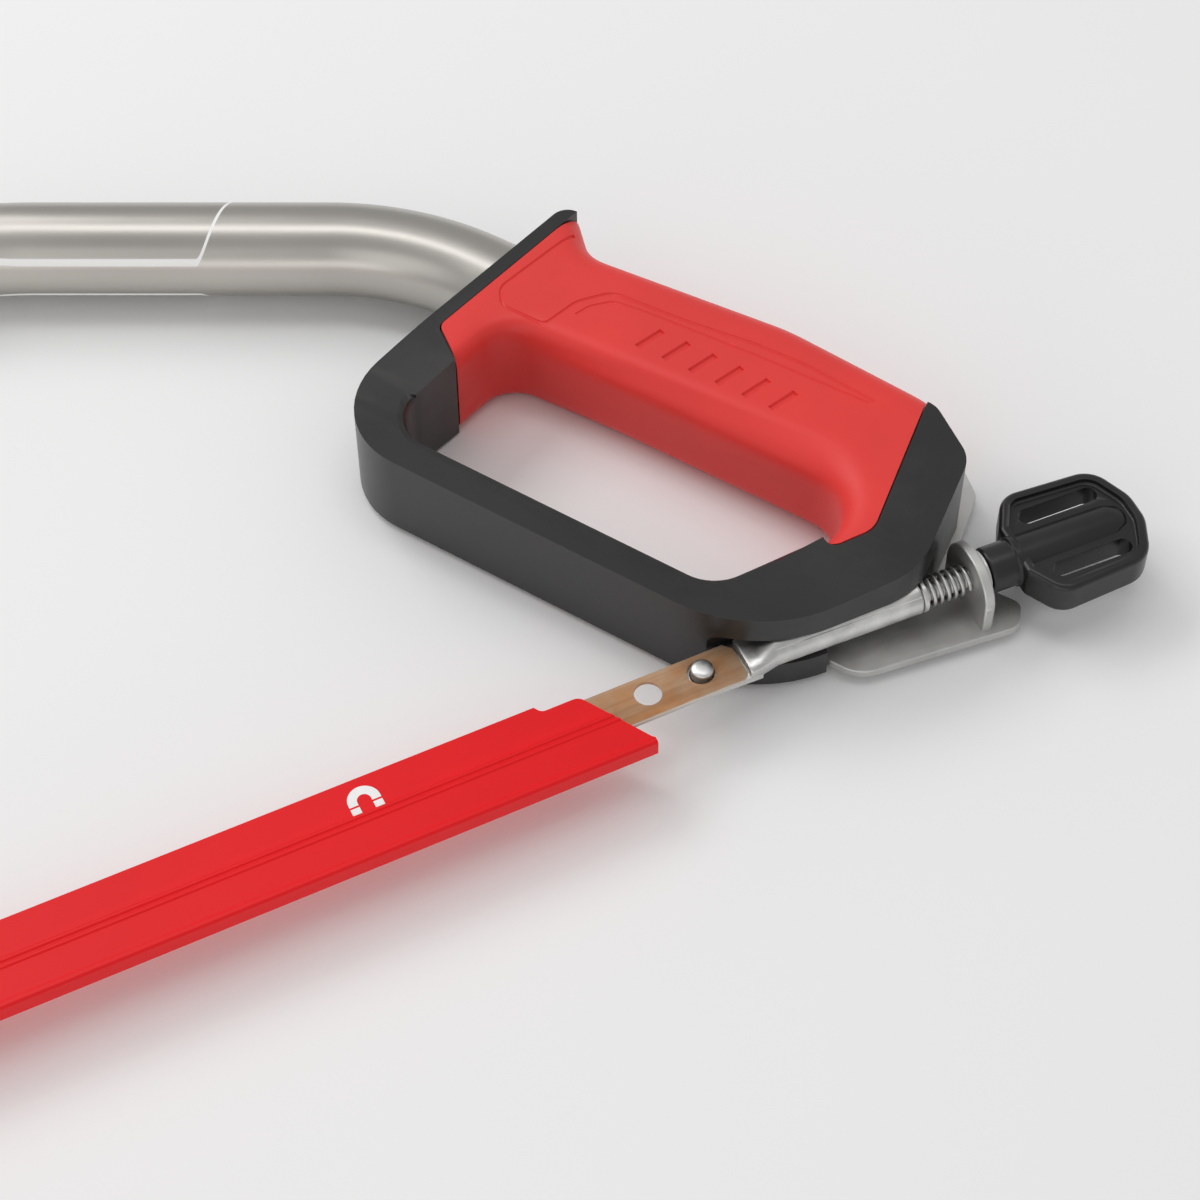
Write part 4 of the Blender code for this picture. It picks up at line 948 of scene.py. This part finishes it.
def handle_slab():
    """Black moulding: rounded outer rim, a chamfer round the opening, thinner at the knuckle."""
    group = sizes("handle")
    half = group.body_half / MM
    made = slab(body_outline(), -half, half)
    opening_box = [slanted(17.0, -68.0), slanted(17.0, -10.0), Vector((50.0, 19.0)),
                   Vector((50.0, 13.0)), Vector((5.0, 13.0))]
    inner, outer = [], []
    for edge in made.edges:
        first, second = edge.verts
        if abs(first.co.z - second.co.z) > FLAT:
            continue
        middle = (first.co.xy + second.co.xy) / 2
        (inner if inside(middle, opening_box) else outer).append(edge)
    bevel(made, outer, group.rounding / MM, 6)
    still = [edge for edge in inner if edge.is_valid]
    bevel(made, still, group.chamfer / MM, 2)
    for step in range(EASE_STEPS + 1):
        level = grip_point(0.0, EASE_START + EASE_RUN / EASE_STEPS * step)
        bmesh.ops.bisect_plane(made, geom=made.verts[:] + made.edges[:] + made.faces[:],
                               dist=1e-5, plane_co=(*level, 0.0), plane_no=(*GRIP_OUT, 0.0))
    for vert in made.verts:
        vert.co.z *= body_half_at((vert.co.xy - COLLAR).dot(GRIP_OUT)) / half
    return made


def inside(point, corners):
    """Whether a plan point lies inside a polygon."""
    found = False
    for index, first in enumerate(corners):
        second = corners[index - 1]
        if (first.y > point.y) != (second.y > point.y):
            reach = first.x + (point.y - first.y) / (second.y - first.y) * (second.x - first.x)
            if point.x < reach:
                found = not found
    return found


def make_handle():
    work = solid(handle_slab())
    cut(work, slab(red_outline(GAP), -PAST, PAST))
    add(work, core(0.0))
    cut(work, tube_room())
    cut(work, groove())
    cut(work, far_side_room())
    cut(work, slab(grown(bracket_outline(), GAP), -PAST, -9.9))
    for x, y in SCREW_PLACES:
        cut(work, upright([(-40, 0), (-40, 3.9), (-12.85, 3.9), (-12.85, 2.3), (-6.3, 2.3),
                           (-6.3, 0)], x, y))
    finished("handle", work, moulded_black(), "frame", ["handle_body"],
             crease=32.0)


def engraving(surface, points, radius):
    """Rod that follows the near side of a surface, for cutting a line in it."""
    path = []
    for point in points:
        hit = surface.ray_cast(Vector((point.x, point.y, 50.0)), Vector((0.0, 0.0, -1.0)))[0]
        if hit:
            path.append(hit + Vector((0.0, 0.0, radius * 0.3)))
    return swept(path, radius, 8)


def open_line(corners, steps=7):
    """Line through (point, radius) corners that doesn't close on itself."""
    line = [corners[0][0]]
    for index in range(1, len(corners) - 1):
        arc = rounded([(corners[index - 1][0], 0.0), corners[index],
                       (corners[index + 1][0], 0.0)], steps)
        line += arc[1:-1]
    return line + [corners[-1][0]]


PANEL_EDGE = [
    (17.0, 16.5, 0.0), (14.6, 6.0, 8.0), (11.0, -10.8, 5.0), (14.8, -16.0, 4.0),
    (28.0, -15.6, 3.0), (30.8, -4.6, 8.0), (37.0, 3.2, 6.0), (59.1, 4.8, 40.0),
    (78.0, 7.4, 40.0), (94.0, 8.2, 40.0), (114.0, 6.6, 0.0)]
PANEL_LINE = [(33.0, -8.5, 0.0), (34.6, -4.0, 5.0), (39.0, 0.7, 5.0), (48.1, 2.0, 20.0),
              (84.0, 4.4, 60.0), (113.0, 5.4, 0.0)]


def make_grip():
    work = grip_envelope()
    keep(work, slab(red_outline(), -PAST, PAST))
    cut(work, core(GAP))
    cut(work, tube_room())
    surface = BVHTree.FromObject(work, bpy.context.evaluated_depsgraph_get())
    rods = []
    for corners, radius in ((PANEL_EDGE, 0.6), (PANEL_LINE, 0.42)):
        line = open_line([(grip_point(along, out), bend) for along, out, bend in corners])
        steps = [first.lerp(second, share / 8) for first, second in zip(line, line[1:])
                 for share in range(8 if (second - first).length > 6 else 1)]
        rods.append(engraving(surface, steps + line[-1:], radius))
    for step in range(6):
        along = 54.0 + step * 8.0
        slanted_line = [grip_point(along - 1.4 + 2.8 * share / 6, -9.6 + 8.2 * share / 6)
                        for share in range(7)]
        rods.append(engraving(surface, slanted_line, 1.1))
    combine(work, joined(rods), "DIFFERENCE", crossed=True)
    finished("grip", work, soft_red(), "frame", ["grip_overmould"],
             crease=38.0)


# Bracket and screws

def make_bracket():
    work = solid(slab(bracket_outline(), -12.7, -10.2, 0.35, 3))
    lug = slab(rounded([((-10.5, -11.4), 0.0), ((10.5, -11.4), 0.0), ((10.5, 8.0), 10.0),
                        ((-10.5, 8.0), 10.0)], 20), 0.0, LUG_END - LUG_START, 0.5, 3)
    bmesh.ops.transform(lug, verts=lug.verts, matrix=Matrix(
        ((0, 0, 1, LUG_START), (1, 0, 0, 0), (0, 1, 0, 0), (0, 0, 0, 1))))
    add(work, tilted(lug))
    cut(work, tilted(turned(rod(LUG_START - 5, LUG_END + 6, 3.1))))
    for x, y in SCREW_PLACES:
        cut(work, upright(rod(-40, 0, 2.3), x, y))
    finished("bracket", work, blasted_steel(), "frame", ["end_bracket"],
             crease=32.0)


def make_bracket_screws():
    for number, (x, y) in enumerate(SCREW_PLACES, 1):
        work = solid(upright([(-14.7, 0), (-14.7, 2.6), (-14.5, 3.2), (-14.0, 3.55),
                              (-13.3, 3.6), (-13.0, 3.6), (-13.0, 2.0), (-7.4, 2.0),
                              (-6.6, 1.2), (-6.6, 0)], x, y, 48))
        for turn in (math.radians(20 * number), math.radians(20 * number + 90)):
            cross = slab([(-2.1, -0.4), (2.1, -0.4), (2.1, 0.4), (-2.1, 0.4)], -20, -13.5)
            bmesh.ops.rotate(cross, verts=cross.verts, matrix=Matrix.Rotation(turn, 3, "Z"))
            bmesh.ops.translate(cross, verts=cross.verts, vec=(x, y, 0))
            cut(work, cross)
        finished(f"bracket_screw_top_{number}", work, plated_steel(), "frame",
                 [f"bracket_screw_{number}"])


# Tensioner

def ring_at(made, x, half_width, half_height, middle):
    """Ring of points across the draw bar, between a circle and a flat oval."""
    turn = Matrix(((0, 0, 1, x), (1, 0, 0, 0), (0, 1, 0, middle), (0, 0, 0, 1)))
    size = Matrix.Diagonal((half_width, half_height, 1.0, 1.0))
    verts = bmesh.ops.create_circle(made, cap_ends=False, radius=1.0, segments=48,
                                    matrix=turn @ size)["verts"]
    flatness = min(half_width / half_height - 1.0, 1.0)
    for vert in verts:
        angle = math.atan2((vert.co.z - middle) / half_height, vert.co.y / half_width)
        power = 1.0 - 0.55 * flatness
        across = math.copysign(abs(math.cos(angle)) ** power, math.cos(angle))
        up = math.copysign(abs(math.sin(angle)) ** power, math.sin(angle))
        vert.co.y = half_width * across
        vert.co.z = middle + half_height * up
    return list({edge for vert in verts for edge in vert.link_edges})


def make_draw_bar():
    radius = sizes("tensioner").bar_radius / MM
    tongue = rounded([((-7.4, -5.8), 5.0), ((14.0, -5.8), 0.0), ((14.0, 5.8), 0.0),
                      ((-7.4, 5.8), 5.0)])
    work = solid(slab(tongue, -2.8, -0.8, 0.35, 3))
    made = bmesh.new()
    stations = [(10.8, 5.5, 2.2, -0.4), (11.4, 5.75, 2.45, -0.35), (13.8, 5.6, 2.6, -0.2),
                (16.5, 5.1, 3.7, -0.1), (19.0, radius, radius, 0.0),
                (26.0, radius, radius, 0.0), (BAR_END - 0.5, radius, radius, 0.0),
                (BAR_END, radius - 0.3, radius - 0.3, 0.0)]
    rings = [ring_at(made, *station) for station in stations]
    for first, second in zip(rings, rings[1:]):
        bmesh.ops.bridge_loops(made, edges=first + second)
    for ring in (rings[0], rings[-1]):
        bmesh.ops.holes_fill(made, edges=ring, sides=0)
    add(work, made)
    bore = radius - 1.0
    cut(work, turned([(26.0, 0)] + rod(28.0, BAR_END + 5, bore)[1:]))
    cut(work, upright(rod(-10, 10, PIN_ROOM), 0.0, 0.0))
    seam = swept([Vector((12.0, -5.2, 2.2)), Vector((19.0, -3.2, 3.4)),
                  Vector((BAR_END + 2, -3.2, 3.4))], 0.22, 8)
    cut(work, seam)
    tilt_object(work)
    finished("draw_tube", work, plated_steel(), "draw", ["draw_bar"],
             crease=30.0)
    start, face, rear = BAR_END - 12, BAR_END + 0.3, BAR_END + 1.7
    bush = turned([(start, 2.8), (start, bore - 0.3), (face, bore - 0.3), (face, radius - 0.3),
                   (face + 0.3, radius), (rear - 0.3, radius), (rear, radius - 0.3),
                   (rear, 2.9), (rear - 0.1, 2.8), (start, 2.8)])
    finished("nut_bush", tilted(bush), plated_steel(), "draw", ["draw_bush"])


def tilt_object(work, start=0.0):
    """Moves a piece along its axis and turns it on to the tensioner's axis."""
    work.data.transform(Matrix.Translation((start, 0, 0)))
    work.data.transform(DRAW_TILT.to_4x4())


def helix(start, end, radius, wire, turns, steps, sides):
    """Wire wound about the X axis."""
    made = bmesh.new()
    ring = bmesh.ops.create_circle(made, cap_ends=True, radius=wire, segments=sides,
                                   matrix=Matrix.Translation((start, radius, 0.0)))["verts"]
    count = round(turns * steps)
    edges = list({edge for vert in ring for edge in vert.link_edges})
    spun = bmesh.ops.spin(made, geom=ring + edges, cent=(0, 0, 0), axis=(1, 0, 0),
                          dvec=((end - start) / count, 0, 0), angle=2 * math.pi * turns,
                          steps=count, use_merge=False, use_duplicate=False)
    last = [item for item in spun["geom_last"] if isinstance(item, bmesh.types.BMEdge)]
    bmesh.ops.holes_fill(made, edges=last, sides=0)
    bmesh.ops.recalc_face_normals(made, faces=made.faces)
    return made


def joined(parts):
    """Several closed bmeshes in one."""
    whole = bmesh.new()
    for part in parts:
        mesh = bpy.data.meshes.new("part")
        part.to_mesh(mesh)
        part.free()
        whole.from_mesh(mesh)
        bpy.data.meshes.remove(mesh)
    return whole


def make_screw():
    group = sizes("tensioner")
    radius, pitch = group.screw_radius / MM, group.pitch / MM
    root = radius - 0.45
    shank = turned([(30.0, 0), (30.0, root - 0.5), (30.6, root), (75.0, root),
                    (75.2, radius), (112.0, radius), (112.0, 0)], 48)
    turns = (74.6 - 31.0) / pitch
    thread = helix(31.0, 74.6, root + 0.02, 0.43, turns, 28, 6)
    finished("screw", tilted(joined([shank, thread])), plated_steel(), "knob",
             ["tension_screw"])
    washer = turned([(76.3, 2.8), (76.3, 5.8), (76.5, 6.0), (77.3, 6.0), (77.5, 5.8),
                     (77.5, 2.8), (76.3, 2.8)])
    finished("washer", tilted(washer), plated_steel(), "knob",
             ["thrust_washer"])


def make_spring():
    wire = sizes("tensioner").wire / MM
    start, end = BAR_END + 2.0 + wire, LUG_START - 0.3 - wire
    coil = tilted(helix(start, end, 3.5, wire, 5.5, 48, 12))
    work = finished("spring", coil, spring_steel(), None,
                    ["tension_spring"], crease=60.0)
    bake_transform(work)


def wing_outline(inset=0.0):
    """Shield-shaped wing of the knob, drawn in by inset."""
    wide = sizes("tensioner").knob_half / MM
    corners = [Vector(point) for point in (
        (8.0, -7.5), (13.5, -wide), (39.0, -wide + 1.5), (44.0, -4.0), (44.0, 4.0),
        (39.0, wide - 1.5), (13.5, wide), (8.0, 7.5))]
    radii = [2.0, 6.5, 8.0, 10.0, 10.0, 8.0, 6.5, 2.0]
    return rounded([(corner, max(radius - inset, 1.0))
                    for corner, radius in zip(grown(corners, -inset), radii)], 10)


def make_knob():
    work = solid(slab(wing_outline(), -5.0, 5.0, 1.5, 5))
    face = wing_outline(2.6)
    for low, high in ((3.4, 10.0), (-10.0, -3.4)):
        recess = slab(face, low, high)
        rim = [edge for edge in recess.edges
               if all(abs(abs(vert.co.z) - 3.4) < 1e-3 for vert in edge.verts)]
        bevel(recess, rim, 0.7, 3)
        cut(work, recess)
    barrel = 6.1
    add(work, turned([(0, 0), (0, barrel - 0.9), (0.25, barrel - 0.35), (0.9, barrel),
                      (7.4, barrel), (7.8, barrel + 0.45), (9.2, barrel + 0.45),
                      (9.8, barrel), (35.5, barrel - 0.3), (39.0, barrel - 1.5),
                      (40.5, 3.0), (40.5, 0)]))
    for side in (1, -1):
        middle = side * (barrel + 3.0)
        outline = rounded([((14.8, middle - 2.3), 2.1), ((37.0, middle - 2.3), 2.1),
                           ((37.0, middle + 2.3), 2.1), ((14.8, middle + 2.3), 2.1)], 10)
        cut(work, slab(outline, -10, 10))
    depth = 112.3 - KNOB_START
    cut(work, turned(rod(-5, depth, 2.8)))
    tilt_object(work, KNOB_START)
    finished("knob", work, knob_black(), "knob", ["tension_knob"],
             crease=30.0, edge=0.3)


# Blade and pins

def tooth_points():
    """Zigzag of the cutting edge from the rear to the front, with a raker every fifth."""
    group = sizes("blade")
    run = -FRONT_PIN.x - 78.0
    count = round(run / (group.tooth_pitch / MM))
    pitch = run / count
    depth = group.tooth_depth / MM
    points = []
    for tooth in range(count):
        root = -30.0 - tooth * pitch
        tip = TOOTH_TIP + (0.8 if tooth % 5 == 4 else 0.0)
        points += [Vector((root, TOOTH_TIP + depth)), Vector((root - pitch / 2, tip))]
    points.append(Vector((-30.0 - run, TOOTH_TIP + depth)))
    return points


def make_blade():
    front = FRONT_PIN.x
    outline = [Vector(point) for point in (
        (front - 8, BLADE_BACK), (front - 10, BLADE_BACK - 2), (front - 10, BLADE_TAIL + 2),
        (front - 8, BLADE_TAIL), (front + 45, BLADE_TAIL))]
    outline += list(reversed(tooth_points()))
    outline += [Vector(point) for point in (
        (-27, BLADE_TAIL), (8, BLADE_TAIL), (10, BLADE_TAIL + 2), (10, BLADE_BACK - 2),
        (8, BLADE_BACK))]
    half = sizes("blade").thickness / 2 / MM
    work = solid(slab(outline, -half, half, 0.08, 1))
    for x in (-HOLE_PLAY, -SPARE_HOLE, front + HOLE_PLAY, front + SPARE_HOLE):
        cut(work, upright(rod(-5, 5, HOLE_RADIUS), x, 0.0))
    finished("saw_blade", work, lacquered_blade(), "draw", ["blade"])


def make_pins():
    under = -3.1
    profile = [(under - 1.2, 0), (under - 1.2, 3.2), (under - 0.9, 4.0), (under - 0.4, 4.4),
               (under, 4.4), (under, PIN_RADIUS), (1.75, PIN_RADIUS)]
    profile += [(1.75 + 0.85 * math.sin(turn), PIN_RADIUS * math.cos(turn) ** 0.8)
                for turn in (math.radians(15 * step) for step in range(1, 6))]
    profile.append((2.6, 0))
    finished("rear_stud", upright(profile, 0.0, 0.0), plated_steel(), "draw",
             ["rear_blade_pin"])
    wall, head = 2.9, 5.0
    profile = [(-wall - 1.2, 0), (-wall - 1.2, head - 1.0), (-wall - 0.6, head - 0.2),
               (-wall, head), (-wall, PIN_RADIUS), (wall, PIN_RADIUS), (wall, head),
               (wall + 0.6, head - 0.2), (wall + 1.2, head - 1.0), (wall + 1.2, 0)]
    finished("front_stud", upright(profile, FRONT_PIN.x, 0.0), plated_steel(), "draw",
             ["front_blade_pin"])


# Guard

def guard_section():
    """Channel section of the guard across the blade, with its lip, ridges and rolled edge."""
    group = sizes("guard")
    half = group.thickness / 2 / MM
    inner = half - group.wall / MM
    low = half - group.ridge / MM
    side = [(-13.8, inner), (7.5, inner), (7.5, low - 0.5), (7.2, low)]
    for middle in (-3.1, -4.8):
        side += [(middle + 0.7, low), (middle + 0.3, half), (middle - 0.3, half),
                 (middle - 0.7, low)]
    side += [(-13.2, low), (-13.6, half), (-14.7, half), (-15.2, half - 0.6)]
    return side + [(y, -z) for y, z in reversed(side)]


def guard_end(start, side):
    corners = [(19.6, -13.7, 2.5), (31.0, 5.2, 3.0), (41.0, 5.2, 2.0), (43.0, 8.5, 0.0),
               (0.0, 8.5, 0.0), (0.0, -13.7, 0.0)]
    return slab(rounded([((start + side * along, y), bend) for along, y, bend in corners]),
                -10, 10)


def magnet_places():
    first, last = -88.8, FRONT_PIN.x + 18.0 + 88.8
    return [first + (last - first) * share / 2 for share in range(3)]


def horseshoe():
    """Flat sign of a horseshoe magnet: an arch, two legs, and two tips beyond a gap."""
    outer, hole = 4.1, 1.75
    arch = [Vector((outer * math.cos(turn), outer * math.sin(turn)))
            for turn in (math.pi * step / 32 for step in range(33))]
    arch += [Vector((-outer, -0.7)), Vector((-hole, -0.7))]
    arch += [Vector((hole * math.cos(turn), hole * math.sin(turn)))
             for turn in (math.pi * (1 - step / 32) for step in range(33))]
    arch += [Vector((hole, -0.7)), Vector((outer, -0.7))]
    tips = [[Vector((side * hole, -3.9)), Vector((side * outer, -3.9)),
             Vector((side * outer, -1.25)), Vector((side * hole, -1.25))] for side in (1, -1)]
    return [arch] + tips


def make_guard():
    group = sizes("guard")
    half = group.thickness / 2 / MM
    made = bmesh.new()
    rear = -19.6
    face = made.faces.new([made.verts.new((rear, y, z)) for y, z in guard_section()])
    raised = bmesh.ops.extrude_face_region(made, geom=[face])
    bmesh.ops.translate(made, verts=picked(raised, bmesh.types.BMVert),
                        vec=(FRONT_PIN.x + 37.6 - rear, 0, 0))
    work = solid(made)
    cut(work, guard_end(0.0, -1))
    cut(work, guard_end(FRONT_PIN.x + 18.0, 1))
    top = half - group.wall / MM + 1.2
    radius = group.magnet / MM
    for x in magnet_places():
        cut(work, upright(rod(0, top, radius + GAP), x, 0.4))
    finished("guard", work, gloss_red(), "guard", ["blade_guard"],
             crease=28.0, edge=0.12)
    low = half - group.ridge / MM
    for number, x in enumerate(magnet_places(), 1):
        signs = []
        for outline in horseshoe():
            placed = [point + Vector((x - 0.8, 0.6)) for point in outline]
            signs.append(slab(placed, low - 0.1, low + 0.04))
        finished(f"magnet_sign_{number}", joined(signs), printed_white(), "guard")
        base = half - group.wall / MM + 0.1
        disc = upright([(base, 0), (base, radius - 0.2), (base + 0.2, radius),
                        (base + 0.6, radius), (base + 0.8, radius - 0.2), (base + 0.8, 0)],
                       x, 0.4)
        finished(f"magnet_{number}", disc, ferrite(), "guard",
                 [f"guard_magnet_{number}"])


# Stage

def softbox(name, place, aim, size, power, colour=(1.0, 1.0, 1.0)):
    data = bpy.data.lights.new(name, "AREA")
    data.shape = "RECTANGLE"
    data.size, data.size_y = size
    data.energy = power
    data.color = colour
    made = bpy.data.objects.new(name, data)
    made.location = place
    made.rotation_euler = (Vector(aim) - Vector(place)).to_track_quat("-Z", "Y").to_euler()
    bpy.context.scene.collection.objects.link(made)
    return made


def make_floor():
    made = bmesh.new()
    bmesh.ops.create_grid(made, x_segments=2, y_segments=2,
                          size=sizes("stage").floor / 2)
    mesh = bpy.data.meshes.new("floor")
    made.to_mesh(mesh)
    made.free()
    mesh.materials.append(finish("floor paint", tuple(sizes("stage").floor_colour), 0.9,
                                 grain=60.0, drift=2.0, bump=0.02, variation=0.004))
    ground = bpy.data.objects.new("floor", mesh)
    bpy.context.scene.collection.objects.link(ground)


def make_camera():
    back = Vector((math.sin(AZIMUTH) * math.cos(ELEVATION),
                   -math.cos(AZIMUTH) * math.cos(ELEVATION), math.sin(ELEVATION)))
    right = Vector((math.cos(AZIMUTH), math.sin(AZIMUTH), 0.0))
    up = back.cross(right)
    data = bpy.data.cameras.new("camera")
    data.lens = 90.0
    data.sensor_width = 36.0
    data.clip_end = 20.0
    made = bpy.data.objects.new("camera", data)
    made.location = (ORIGIN - right * 0.0250 + up * 0.0179
                     + back * sizes("stage").distance)
    made.rotation_euler = (math.pi / 2 - ELEVATION, 0.0, AZIMUTH)
    bpy.context.scene.collection.objects.link(made)
    bpy.context.scene.camera = made


def make_lights():
    world = bpy.data.worlds.new("studio")
    world.use_nodes = True
    background = world.node_tree.nodes["Background"]
    background.inputs["Color"].default_value = (1.0, 1.0, 1.0, 1.0)
    background.inputs["Strength"].default_value = 0.50
    bpy.context.scene.world = world
    softbox("key softbox", (-0.5, 1.1, 1.3), (0.0, 0.0, 0.0), (1.6, 0.7), 12.0)
    softbox("fill softbox", (-1.3, -0.9, 1.1), (0.1, 0.0, 0.0), (1.2, 1.2), 3.0)
    softbox("top strip", (0.3, 0.2, 1.6), (0.1, 0.0, 0.0), (1.4, 0.35), 4.0)
    softbox("front softbox", (-0.85, -1.6, 0.35), (0.0, 0.1, 0.05), (1.8, 0.4), 3.5)


# Operators

def operator(name, label, text, maker):
    """Operator class that runs one maker."""
    def execute(self, context):
        maker()
        return {"FINISHED"}
    return type("SAW_OT_" + name, (bpy.types.Operator,), {
        "bl_idname": "bow_saw." + name, "bl_label": label, "__doc__": text,
        "bl_options": {"REGISTER", "UNDO"}, "execute": execute})


def make_stage():
    scene = bpy.context.scene
    scene.view_settings.view_transform = "Standard"
    make_floor()
    make_lights()
    make_camera()


OPERATORS = [
    operator("tube", "Frame tube", "Bend the frame tube and press its ends", make_tube),
    operator("handle", "Handle moulding", "Mould the black D-handle", make_handle),
    operator("grip", "Soft grip", "Mould the soft grip over the handle", make_grip),
    operator("bracket", "Bracket", "Cut the steel bracket with its lug", make_bracket),
    operator("bracket_screws", "Bracket screws", "Drive the three bracket screws",
             make_bracket_screws),
    operator("draw_bar", "Draw bar", "Form the draw bar and its bush", make_draw_bar),
    operator("screw", "Tension screw", "Turn the tension screw and its washer", make_screw),
    operator("spring", "Spring", "Wind the spring behind the draw bar", make_spring),
    operator("knob", "Knob", "Mould the tension knob", make_knob),
    operator("blade", "Blade", "Cut the blade and its teeth", make_blade),
    operator("pins", "Blade pins", "Turn the two blade pins", make_pins),
    operator("guard", "Blade guard", "Mould the guard, its magnets and signs", make_guard),
    operator("stage", "Stage", "Set the floor, the lights and the camera", make_stage),
]

GROUPS = {"tube": TubeSizes, "handle": HandleSizes, "tensioner": TensionerSizes,
          "blade": BladeSizes, "guard": GuardSizes, "stage": StageSizes}


class SAW_PT_panel(bpy.types.Panel):
    """Lists the saw's pieces and their sizes"""
    bl_label = "Bow Saw"
    bl_space_type = "VIEW_3D"
    bl_region_type = "UI"
    bl_category = "Bow Saw"

    def draw(self, context):
        for made in OPERATORS:
            self.layout.operator(made.bl_idname)
        for name, group in GROUPS.items():
            box = self.layout.box()
            box.label(text=name.capitalize())
            for key in group.__annotations__:
                box.prop(sizes(name), key)


def register():
    for name, group in GROUPS.items():
        bpy.utils.register_class(group)
        setattr(bpy.types.Scene, "saw_" + name, bpy.props.PointerProperty(type=group))
    for made in OPERATORS:
        bpy.utils.register_class(made)
    bpy.utils.register_class(SAW_PT_panel)


def unregister():
    bpy.utils.unregister_class(SAW_PT_panel)
    for made in reversed(OPERATORS):
        bpy.utils.unregister_class(made)
    for name, group in GROUPS.items():
        delattr(bpy.types.Scene, "saw_" + name)
        bpy.utils.unregister_class(group)


def main():
    register()
    for made in OPERATORS:
        category, name = made.bl_idname.split(".")
        getattr(getattr(bpy.ops, category), name)()


if __name__ == "__main__":
    main()
